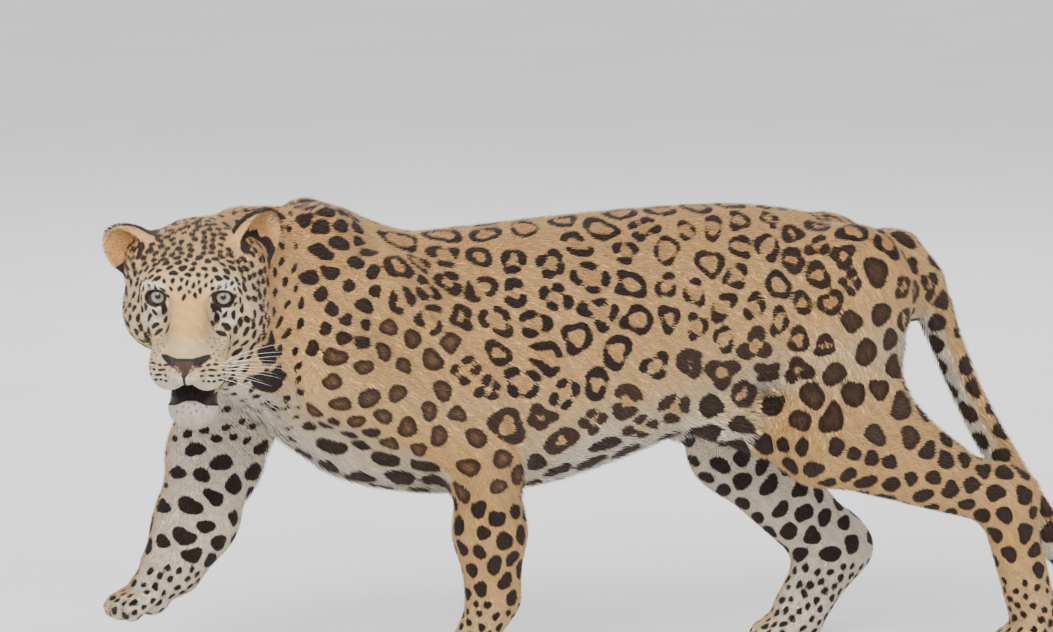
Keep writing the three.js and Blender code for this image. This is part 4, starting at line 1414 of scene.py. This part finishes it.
class Skin:
    """One skin over all the flesh, under the solids' surface by the depth of the coat."""

    SQUARE = 0.0064  # metres across one face before the head is refined
    GROW = 0.0005  # closes the thin gaps between the solids
    GROW_MORE = 0.0028  # and the wedges where the legs leave the trunk
    BROAD = ("chest", "abdomen", "hips", "thigh_left", "thigh_right")
    WEDGE = ((212, -60, 342), 30.0)  # deep inside, where the left thigh leaves the flank
    HEAD_REACH = 128  # round the middle of the head, where the faces are divided
    EYE_REACH = 34  # round each eye, where they are divided once more
    NOSE_FROM = 92  # and round nose and mouth: in front of this
    CHIN_FROM = -118  # and above this

    def __init__(self, body: Body, lie: Lie) -> None:
        """Draws the skin and keeps its places and normals in the frame of the joints."""
        self.body, self.lie = body, lie
        self.data = self.drawn(self.refined(self.flesh()))
        count = len(self.data.vertices)
        places = np.zeros(count * 3)
        self.data.vertices.foreach_get("co", places)
        self.places = to_joints(places.reshape(-1, 3))
        normals = np.zeros(count * 3)
        self.data.vertices.foreach_get("normal", normals)
        self.normals = normals.reshape(-1, 3)
        log.info("skin: %d vertices, %d faces", count, len(self.data.polygons))

    def flesh(self) -> bmesh.types.BMesh:
        """All the solids, eyes too, as one closed mesh of even squares."""
        whole = bmesh.new()
        for name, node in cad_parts.items():
            grow = self.GROW_MORE if name in self.BROAD else self.GROW
            part = bmesh.new()
            part.from_mesh(node.data)
            bmesh.ops.remove_doubles(part, verts=part.verts, dist=1e-6)
            part.normal_update()
            for vertex in part.verts:
                vertex.co += vertex.normal * grow
            piece = made(part, "flesh")
            whole.from_mesh(piece)
            bpy.data.meshes.remove(piece)
        place, radius = self.WEDGE
        inside = Matrix.Translation(to_metres(vec(*place)))
        bmesh.ops.create_icosphere(whole, subdivisions=3, radius=radius * MM, matrix=inside)
        data = made(whole, "flesh")
        lump_of_all = bpy.data.objects.new("flesh", data)
        bpy.context.scene.collection.objects.link(lump_of_all)
        even = lump_of_all.modifiers.new("even", "REMESH")
        even.mode = "VOXEL"
        even.voxel_size = self.SQUARE
        done = lump_of_all.evaluated_get(bpy.context.evaluated_depsgraph_get())
        mesh = bmesh.new()
        mesh.from_mesh(done.to_mesh())
        bpy.data.objects.remove(lump_of_all)
        bpy.data.meshes.remove(data)
        self.keep_largest(mesh)
        return mesh

    def keep_largest(self, mesh: bmesh.types.BMesh) -> None:
        """Drops every loose scrap but the largest closed surface."""
        left = set(mesh.verts)
        groups = []
        while left:
            start = left.pop()
            group, queue = [start], [start]
            while queue:
                for edge in queue.pop().link_edges:
                    for other in edge.verts:
                        if other in left:
                            left.remove(other)
                            group.append(other)
                            queue.append(other)
            groups.append(group)
        groups.sort(key=len)
        for group in groups[:-1]:
            bmesh.ops.delete(mesh, geom=group, context="VERTS")

    def refined(self, mesh: bmesh.types.BMesh) -> bmesh.types.BMesh:
        """Divides the faces of the head, and once more those round eyes, nose and mouth."""
        for level in range(2):
            mesh.verts.index_update()
            places = to_joints(np.array([v.co for v in mesh.verts]))
            h = self.body.head.local(places)
            m = self.body.head.mirrored(h)
            if level == 0:
                away = (h - vec(20, 0, -10)) / vec(1.3, 1.15, 1.05)
                fine = np.linalg.norm(away, axis=1) < self.HEAD_REACH
            else:
                fine = np.linalg.norm(m - vec(60, 44, 28), axis=1) < self.EYE_REACH
                fine |= (h[:, 0] > self.NOSE_FROM) & (h[:, 2] > self.CHIN_FROM)
            edges = [e for e in mesh.edges if fine[e.verts[0].index] and fine[e.verts[1].index]]
            bmesh.ops.subdivide_edges(mesh, edges=edges, cuts=1, use_grid_fill=True)
            self.draw(mesh, 3)
        return mesh

    def draw(self, mesh: bmesh.types.BMesh, passes: int) -> None:
        """Moves every vertex onto the skin's surface."""
        places = to_joints(np.array([v.co for v in mesh.verts]))
        places = to_metres(self.body.drawn(places, passes))
        for vertex, place in zip(mesh.verts, places):
            vertex.co = place

    def drawn(self, mesh: bmesh.types.BMesh) -> bpy.types.Mesh:
        """Evens out the mesh on the skin's surface and closes it as a mesh of its own."""
        for _ in range(2):
            bmesh.ops.smooth_vert(
                mesh, verts=mesh.verts, factor=0.5, use_axis_x=True, use_axis_y=True, use_axis_z=True
            )
            self.draw(mesh, 2)
        bmesh.ops.triangulate(mesh, faces=[f for f in mesh.faces if len(f.verts) > 4])
        bmesh.ops.recalc_face_normals(mesh, faces=mesh.faces)
        return made(mesh, "skin", smooth=True)

    def dress(self, markings: Markings, finish: SkinFinish) -> bpy.types.Object:
        """Paints the skin and puts it in the scene in place of the solids of flesh."""
        store(self.data, markings.paint(self.places, self.normals))
        _, part = self.lie.flow(self.places, self.normals)
        chart = self.lie.chart(self.places, part) * MM
        layer = self.data.uv_layers.new(name="Lie")
        corners = np.zeros(len(self.data.loops), int)
        self.data.loops.foreach_get("vertex_index", corners)
        layer.data.foreach_set("uv", chart[corners].astype(np.float32).ravel())
        piece = new_piece("skin", self.data, finish.material)
        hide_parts(*[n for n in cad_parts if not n.startswith("eye")])
        return piece


@dataclass
class Coat:
    """The short coat: tufts over the whole skin that lie along the body and overlap."""

    skin: Skin
    lie: Lie
    markings: Markings
    cover: float = 1.25  # area of the tufts over that of the skin below them
    most: int = 48000  # tufts in one piece
    patch: float = 0.003  # a tuft's patch on the unwrap
    FROM_ROOT = np.array((1.0, 0.6, 0.6, 0.0))  # share of the root's colour at a tuft's four corners
    FROM_TIP = np.array((0.0, 0.4, 0.4, 1.0))
    ROOT, WINGS, TIP = -0.42, -0.14, 0.58  # where a tuft's corners lie along it, over its length
    PAINTED = (-0.26, 0.4)  # where its two colours are read, over its length
    BARE = 0.4  # the share of bare skin past which no hair grows
    ASKEW = 0.13  # radians by which single tufts lie off the flow

    def lengths(self, p: Points, part: Values) -> Values:
        """Length of the hair at each place, in millimetres.

        Args:
            p: Places in the frame of the joints.
            part: The number of the part of each.

        Returns:
            The lengths.
        """
        body = self.lie.body
        up = body.trunk.height(p)
        long = 10.5 + 9.0 * ramp(-up, 0.55, 0.95) + 4.0 * ramp(-p[:, 0], 380, 440)
        legs = part >= Part.FORELEG_LEFT.value
        long = np.where(legs, 7.0 + 4.0 * ramp(p[:, 2], 120, 380), long)
        long = np.where(p[:, 2] < 60, np.minimum(long, 4.8 + 3.0 * ramp(p[:, 2], 10, 60)), long)
        edge = legs * ramp(self.skin.normals[:, 0], 0.45, 0.9) * ramp(p[:, 2], 150, 220)
        long = long + 7.0 * edge
        share, _ = body.tail.nearest(p)
        long = np.where(part == Part.TAIL.value, 14.0 + 10.0 * ramp(share, 0.7, 0.95), long)
        h = body.head.local(p)
        f, u = h[:, 0], h[:, 2]
        face = 11.5 - 5.5 * ramp(f, -10, 50) - 2.8 * ramp(f, 60, 105) - 3.0 * ramp(u, 0, 50)
        ears = np.minimum(body.head.left_ear.distance(h), body.head.right_ear.distance(h))
        face += 8.0 * ramp(-u, 30, 80) * ramp(-f, -45, -5)
        face = np.minimum(face, 4.8 + 3 * ramp(ears, 3, 12))
        for ear in (body.head.left_ear, body.head.right_ear):
            q = ear.local(h)
            hollow = (ear.distance(h) < 4) & (ear.cup(q) < 3.5)
            face = np.where(hollow, 17.0, face)
        m = body.head.mirrored(h)
        face = np.minimum(face, 2.4 + 5 * ramp(np.linalg.norm(m - body.head.eye, axis=1), 20, 45))
        near = ramp(-np.linalg.norm(h - vec(20, 0, -20), axis=1), -170, -125)
        return long + near * (face - long)

    def grow(self, finish: CoatFinish) -> list[bpy.types.Object]:
        """Grows the tufts and puts them in the scene.

        Args:
            finish: The coat's finish.

        Returns:
            The pieces of the coat.
        """
        rng = np.random.default_rng(SEED + 1)
        skin, data = self.skin, self.skin.data
        data.calc_loop_triangles()
        corners = np.zeros(len(data.loop_triangles) * 3, int)
        data.loop_triangles.foreach_get("vertices", corners)
        corners = corners.reshape(-1, 3)
        places, normals = skin.places, skin.normals
        flow, part = self.lie.flow(places, normals)
        long = self.lengths(places, part)
        skin_bare = self.read("bare")
        a, b, c = (places[corners[:, i]] for i in range(3))
        area = np.linalg.norm(np.cross(b - a, c - a), axis=1) / 2
        size = long[corners].mean(axis=1)
        bare = skin_bare[corners].mean(axis=1)
        each = self.cover * area / (size * self.width(size) / 2) * (bare < self.BARE)
        count = np.floor(each + rng.random(len(each))).astype(int)
        chosen = np.repeat(np.arange(len(count)), count)
        share = rng.random((len(chosen), 2))
        share = np.where(share.sum(1, keepdims=True) > 1, 1 - share, share)
        weight = np.column_stack([1 - share.sum(1), share])[:, :, None]
        around = corners[chosen]
        at = (places[around] * weight).sum(1)
        up = unit((normals[around] * weight).sum(1))
        along = (flow[around] * weight).sum(1)
        length = (long[around] * weight[:, :, 0]).sum(1) * rng.uniform(0.75, 1.2, len(at))
        where = part[around[np.arange(len(at)), weight[:, :, 0].argmax(1)]]
        waver = 0.16 * np.sin(at @ (0.13, 0.09, 0.11)) + 0.12 * np.sin(at @ (-0.05, 0.21, 0.17) + 2)
        turn = (waver + rng.normal(0, self.ASKEW, len(at)))[:, None]
        along = unit(along - (along * up).sum(1, keepdims=True) * up)
        side = np.cross(up, along)
        along, side = along * np.cos(turn) + side * np.sin(turn), side * np.cos(turn) - along * np.sin(turn)
        rise = self.lie.body.cover(at) * rng.uniform(0.45, 0.95, len(at))
        rise = np.minimum(rise, 0.4 * length)[:, None]
        half = (self.width(length) / 2 * rng.uniform(0.8, 1.2, len(at)))[:, None]
        low, high = (self.markings.paint(at + x * length[:, None] * along, up) for x in self.PAINTED)
        seen = {key: low[key][:, None] * self.FROM_ROOT + high[key][:, None] * self.FROM_TIP for key in low}
        length = length[:, None]
        root = at + self.ROOT * length * along - 0.5 * up
        wings = at + self.WINGS * length * along + (0.25 * rise - 0.15) * up
        tip = at + self.TIP * length * along + rise * up
        tufts = np.stack([root, wings - half * side, wings + half * side, tip], 1)
        tufts[:, :, 2] = np.maximum(tufts[:, :, 2], FLOOR_LEVEL + 0.3)
        tone = rng.uniform(-1, 1, len(at)) + 0.5 * np.sin(at @ (0.3, 0.21, 0.26))
        seen["shade"] = np.repeat(tone[:, None], 4, axis=1)
        unwrap = self.lie.bake_place(at, where)
        pieces = []
        for name, inside in self.regions(at, where).items():
            own = {key: value[inside] for key, value in seen.items()}
            pieces.append(self.piece("coat_" + name, tufts[inside], own, unwrap[inside], finish))
        return pieces

    def width(self, length: Values) -> Values:
        """Width of a tuft of a given length."""
        return 0.45 + 0.095 * length

    def read(self, name: str) -> Values:
        """One of the skin's named values, at every vertex."""
        out = np.zeros(len(self.skin.places), np.float32)
        self.skin.data.attributes[name].data.foreach_get("value", out)
        return out

    def regions(self, p: Points, part: Values) -> dict[str, Values]:
        """Splits the coat into pieces of a size that the tools keep whole.

        Args:
            p: Places of the tufts.
            part: The number of the part of each.

        Returns:
            For each piece's name the numbers of its tufts.
        """
        out = {}
        for each in Part:
            inside = np.flatnonzero(part == each.value)
            inside = inside[np.argsort(p[inside, 0], kind="stable")]
            pieces = max(1, math.ceil(len(inside) / self.most))
            for n, chunk in enumerate(np.array_split(inside, pieces)):
                label = each.name.lower() + (f"_{n + 1}" if pieces > 1 else "")
                out[label] = chunk
        return out

    def piece(
        self, name: str, tufts: Points, values: dict[str, Values], unwrap: Points, finish: CoatFinish
    ) -> bpy.types.Object:
        """Joins tufts into one piece of the coat.

        Args:
            name: The piece's name.
            tufts: Root, two sides and tip of each tuft, in the frame of the joints.
            values: The skin's named values at each tuft's four corners.
            unwrap: Where each tuft stands on the unwrap of the skin.
            finish: The coat's finish.

        Returns:
            The piece.
        """
        count = len(tufts)
        faces = np.array(((0, 1, 3), (0, 3, 2), (0, 2, 1), (1, 2, 3)))
        loops = (faces.ravel()[None] + 4 * np.arange(count)[:, None]).ravel()
        data = bpy.data.meshes.new(name)
        data.vertices.add(4 * count)
        data.loops.add(len(loops))
        data.polygons.add(4 * count)
        data.vertices.foreach_set("co", to_metres(tufts).astype(np.float32).ravel())
        data.loops.foreach_set("vertex_index", loops.astype(np.int32))
        data.polygons.foreach_set("loop_start", np.arange(0, len(loops), 3, dtype=np.int32))
        data.polygons.foreach_set("use_smooth", [True] * (4 * count))
        data.update(calc_edges=True)
        spread = {name: value.ravel() for name, value in values.items()}
        spread["tip"] = np.tile((0.0, 0.35, 0.35, 1.0), count)
        store(data, spread)
        patch = np.array(((0, 0), (1, 0), (0, 1), (1, 1))) * self.patch - self.patch / 2
        uv = (unwrap[:, None] + patch).reshape(-1, 2)[loops]
        data.uv_layers.new(name="OFBake").data.foreach_set("uv", uv.astype(np.float32).ravel())
        piece = new_piece(name, data, finish.material)
        log.info("%s: %d tufts", name, count)
        return piece


@dataclass
class Eye:
    """One eyeball with a raised cornea, a pale iris and a round pupil."""

    side: str
    iris: float = 10.4
    bulge: float = 1.3
    gaze: tuple = (1, 0.104, 0.675)  # towards the camera, in the head's frame
    lid_shade: float = 0.92  # how dark the painted shadow of the upper lid makes the top of the eye
    lid_from: float = 2.0  # heights over the pupil between which that shadow grows
    lid_to: float = 8.0
    behind: float = 3.0  # the ring number of the back of the eye

    def build(self, head: Head, finish: bpy.types.Material) -> bpy.types.Object:
        """Makes the eye where its solid is.

        Args:
            head: The head's frame and sizes.
            finish: The eye's material.

        Returns:
            The piece.
        """
        sign = 1 if self.side == "left" else -1
        mesh = bmesh.new()
        bmesh.ops.create_uvsphere(mesh, u_segments=56, v_segments=44, radius=head.eye_radius)
        rings, lidded = [], []
        for vertex in mesh.verts:
            # painted shadow of the upper lid, darker towards the top of the eye
            lidded.append(self.lid_shade * float(ramp(vertex.co.y, self.lid_from, self.lid_to)))
            off = math.hypot(vertex.co.x, vertex.co.y)
            rise = max(0.0, 1 - (off / (self.iris * 1.08)) ** 2) if vertex.co.z > 0 else 0.0
            vertex.co.z += self.bulge * rise
            rings.append(off / self.iris if vertex.co.z > 0 else self.behind)
        gaze = unit(head.direction(unit(vec(*self.gaze))))
        right = unit(np.cross(vec(0, 0, 1), gaze))
        up = np.cross(gaze, right)
        centre = to_metres(head.world(vec(*head.eye) * vec(1, sign, 1)))
        turn = Matrix(np.stack([right, up, gaze], 1).tolist()).to_4x4()
        place = Matrix.Translation(centre) @ turn @ Matrix.Scale(MM, 4)
        bmesh.ops.transform(mesh, matrix=place, verts=mesh.verts)
        data = made(mesh, "eye_" + self.side, smooth=True)
        store(data, {"ring": np.array(rings), "lidded": np.array(lidded)})
        piece = new_piece(f"eyeball_{self.side}", data, finish)
        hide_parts("eye_" + self.side)
        return piece


def eye_finish() -> bpy.types.Material:
    """A pale grey-green iris with a dark edge under a wet, clear cornea, and painted shadow of the upper
    lid over its top.
    """
    recipe = Recipe("wet_eye")
    ring = recipe.attribute("ring")
    fleck = recipe.noise(recipe.coordinates(), (700, 700, 700), 3)
    ring = recipe.math("ADD", ring, recipe.math("MULTIPLY_ADD", fleck, 0.12, -0.06))
    stops = [
        (0.0, shade(6, 6, 8)), (0.155, shade(8, 8, 8)), (0.185, shade(98, 92, 70)),
        (0.29, shade(140, 134, 118)), (0.385, shade(124, 118, 102)), (0.44, shade(52, 44, 34)),
        (0.50, shade(20, 15, 12)), (0.75, shade(58, 40, 30)),
    ]
    colour = recipe.ladder(recipe.math("MULTIPLY", ring, 0.5), stops)
    # painted shadow of the upper lid darkens the top of the eye
    lidded = recipe.mix(recipe.attribute("lidded"), colour, shade(24, 20, 18))
    return recipe.finish(
        Base_Color=lidded, Roughness=0.3, Specular_IOR_Level=0.2, Coat_Weight=0.5, Coat_Roughness=0.02
    )


@dataclass
class Whiskers:
    """Long tapered bristles on both pads and over the eyes."""

    sides: int = 3
    steps: int = 8
    thick: float = 0.36
    sunk: float = 3.0  # how deep a root lies in the skin
    sag: float = 0.16  # how far a tip hangs, as a share of the length
    taper: float = 0.85

    def roots(self) -> list[tuple[Points, Points, float]]:
        """Place, direction and length of each whisker, in the head's own frame."""
        out = []
        for sign in (-1, 1):
            for row in range(3):
                for n in range(4):
                    at = vec(126 - 7 * n, sign * (37 + 3.5 * n), -31 - 7.5 * row - 1.5 * n)
                    lean = 0.22 - 0.16 * row + 0.05 * n
                    aim = unit(vec(-0.18 - 0.16 * n, sign, lean - 0.25))
                    out.append((at, aim, 62.0 + 13.0 * n - 5.0 * row))
            for n in range(3):
                at = vec(66 - 3 * n, sign * (42 + 6 * n), 49 - 1.5 * n)
                out.append((at, unit(vec(0.25, sign * (0.3 + 0.25 * n), 0.9)), 30.0 + 4.0 * n))
        return out

    def build(self, body: Body, finish: bpy.types.Material) -> bpy.types.Object:
        """Makes the whiskers as one piece.

        Args:
            body: The animal's shape.
            finish: The bristles' finish.

        Returns:
            The piece.
        """
        mesh = bmesh.new()
        for at, aim, length in self.roots():
            start = body.drawn(body.head.world(at)[None], 8)[0]
            aim = unit(body.head.direction(aim))
            drop = vec(0, 0, -1)
            across = unit(np.cross(aim, drop))
            over = np.cross(aim, across)
            last = None
            first = start - self.sunk * aim
            whole = length + self.sunk
            for step in range(self.steps):
                t = step / self.steps
                middle = first + aim * whole * t + drop * self.sag * length * t**2
                size = self.thick * (1 - self.taper * t)
                turns = [2 * math.pi * i / self.sides for i in range(self.sides)]
                ring = [
                    mesh.verts.new(to_metres(middle + size * (math.cos(a) * across + math.sin(a) * over)))
                    for a in turns
                ]
                if last is None:
                    mesh.faces.new(ring[::-1])
                else:
                    for i in range(self.sides):
                        j = (i + 1) % self.sides
                        mesh.faces.new((last[i], last[j], ring[j], ring[i]))
                last = ring
            tip = mesh.verts.new(to_metres(first + aim * whole + drop * self.sag * length))
            for i in range(self.sides):
                mesh.faces.new((last[i], last[(i + 1) % self.sides], tip))
        bmesh.ops.recalc_face_normals(mesh, faces=mesh.faces)
        piece = new_piece("whiskers", made(mesh, "whiskers"), finish)
        return piece


def whisker_finish() -> bpy.types.Material:
    """Stiff white bristle."""
    return Recipe("white_bristle").finish(Base_Color=shade(244, 240, 230), Roughness=0.4)


@dataclass
class Claws:
    """The tips of the drawn-in claws, one over each toe."""

    long: float = 9.0
    thick: float = 2.6
    taper: float = 0.7
    hook: float = 2.5  # how far a tip bends down

    def build(self, body: Body, finish: bpy.types.Material) -> bpy.types.Object:
        """Makes all claws as one piece.

        Args:
            body: The animal's shape.
            finish: The horn's finish.

        Returns:
            The piece.
        """
        mesh = bmesh.new()
        for paw in body.paws:
            for root, tip in paw.toe_ends():
                aim = unit((tip - root) * vec(1, 1, 0)) + vec(0, 0, -0.1)
                seat = tip + aim * (paw.toe - 4.0) + vec(0, 0, 0.3 * paw.toe)
                shape = bmesh.new()
                bmesh.ops.create_uvsphere(shape, u_segments=10, v_segments=8, radius=1)
                right = unit(np.cross(aim, vec(0, 0, 1)))
                over = unit(np.cross(right, aim))
                for vertex in shape.verts:
                    q = vertex.co
                    taper = self.thick * (1 - self.taper * max(0.0, q.x))
                    bend = -self.hook * max(0.0, q.x) ** 2
                    place = seat + aim * q.x * self.long * 0.6 + right * q.y * 0.6 * taper
                    vertex.co = to_metres(place + over * (q.z * taper + bend))
                part = made(shape, "claw")
                mesh.from_mesh(part)
                bpy.data.meshes.remove(part)
        bmesh.ops.recalc_face_normals(mesh, faces=mesh.faces)
        piece = new_piece("claws", made(mesh, "claws", smooth=True), finish)
        return piece


def claw_finish() -> bpy.types.Material:
    """Smooth grey-brown horn."""
    return Recipe("smooth_horn").finish(Base_Color=shade(120, 104, 88), Roughness=0.35)


@dataclass
class Studio:
    """A plain pale floor, soft lamps and the camera of the picture."""

    scale: float = 1.35  # millimetres of the animal to one pixel of the picture
    down: float = 9.0  # degrees that the camera looks down
    aside: float = 14.0  # degrees that the camera stands to the animal's front
    far: float = 11000.0
    reach: float = 100.0  # metres that the camera sees
    picture: tuple = (1053, 632)
    aim: tuple = (560, 316, 656)  # column of the joints' origin, middle row and row of z = 0
    sensor: float = 36.0
    middle: tuple = (-0.1, 0, 0.35)  # metres, the place that the lamps face

    def axes(self) -> tuple[Points, Points, Points]:
        """Where the camera looks, its right and its up."""
        e, a = math.radians(self.down), math.radians(self.aside)
        view = vec(math.sin(a) * math.cos(e), math.cos(a) * math.cos(e), -math.sin(e))
        right = vec(math.cos(a), -math.sin(a), 0)
        return view, right, np.cross(right, view)

    def camera(self) -> None:
        """Sets up the camera that sees the picture's framing."""
        view, right, up = self.axes()
        column, middle, row = self.aim
        target = right * (self.picture[0] / 2 - column) * self.scale + up * (row - middle) * self.scale
        place = to_metres(target - view * self.far)
        lens = bpy.data.cameras.new("camera")
        lens.sensor_width = self.sensor
        lens.lens = self.sensor * self.far / (self.scale * self.picture[0])
        lens.clip_end = self.reach
        camera = bpy.data.objects.new("camera", lens)
        bpy.context.scene.collection.objects.link(camera)
        turn = Matrix(np.stack([right, up, -view], 1).tolist()).to_4x4()
        camera.matrix_world = Matrix.Translation(place) @ turn
        bpy.context.scene.camera = camera

    def lamp(self, name: str, place: tuple, size: float, power: float, tint: tuple) -> None:
        """A square soft lamp that faces the animal's middle."""
        light = bpy.data.lights.new(name, "AREA")
        light.size = size
        light.energy = power
        light.color = tint
        lamp = bpy.data.objects.new(name, light)
        bpy.context.scene.collection.objects.link(lamp)
        lamp.location = place
        toward = Vector(self.middle) - Vector(place)
        lamp.rotation_euler = toward.to_track_quat("-Z", "Y").to_euler()

    def floor(self) -> None:
        """A wide pale floor."""
        mesh = bmesh.new()
        bmesh.ops.create_grid(mesh, x_segments=8, y_segments=8, size=30)
        data = made(mesh, "floor")
        recipe = Recipe("pale_floor")
        fleck = recipe.noise(recipe.coordinates(), (3, 3, 3), 2)
        colour = recipe.ladder(fleck, [(0.3, shade(232, 231, 228)), (0.7, shade(236, 235, 232))])
        data.materials.append(recipe.finish(Base_Color=colour, Roughness=0.9))
        floor = bpy.data.objects.new("floor", data)
        bpy.context.scene.collection.objects.link(floor)

    def build(self) -> None:
        """Sets the whole studio."""
        self.camera()
        self.floor()
        self.lamp("key_lamp", (-2.2, -3.4, 3.6), 2.6, 300, (1.0, 0.97, 0.93))
        self.lamp("fill_lamp", (3.4, -3.2, 1.8), 3.0, 70, (0.94, 0.97, 1.0))
        self.lamp("back_lamp", (0.6, 3.2, 3.0), 2.4, 90, (1.0, 1.0, 1.0))
        world = bpy.data.worlds.new("studio")
        world.use_nodes = True
        backdrop = world.node_tree.nodes["Background"]
        backdrop.inputs["Color"].default_value = (0.92, 0.95, 1.0, 1.0)
        backdrop.inputs["Strength"].default_value = 1.15
        bpy.context.scene.world = world


def main() -> None:
    """Builds the animal piece by piece, then the studio round it."""
    logging.basicConfig(level=logging.INFO, format="%(message)s")
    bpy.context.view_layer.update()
    body = Body()
    lie = Lie(body)
    skin = Skin(body, lie)
    markings = Markings(body, lie, skin.places, skin.normals)
    colours = CoatColours()
    skin.dress(markings, SkinFinish(colours))
    Coat(skin, lie, markings).grow(CoatFinish(colours))
    wet = eye_finish()
    for side in ("left", "right"):
        Eye(side).build(body.head, wet)
    Whiskers().build(body, whisker_finish())
    Claws().build(body, claw_finish())
    Studio().build()


if __name__ == "__main__":
    main()
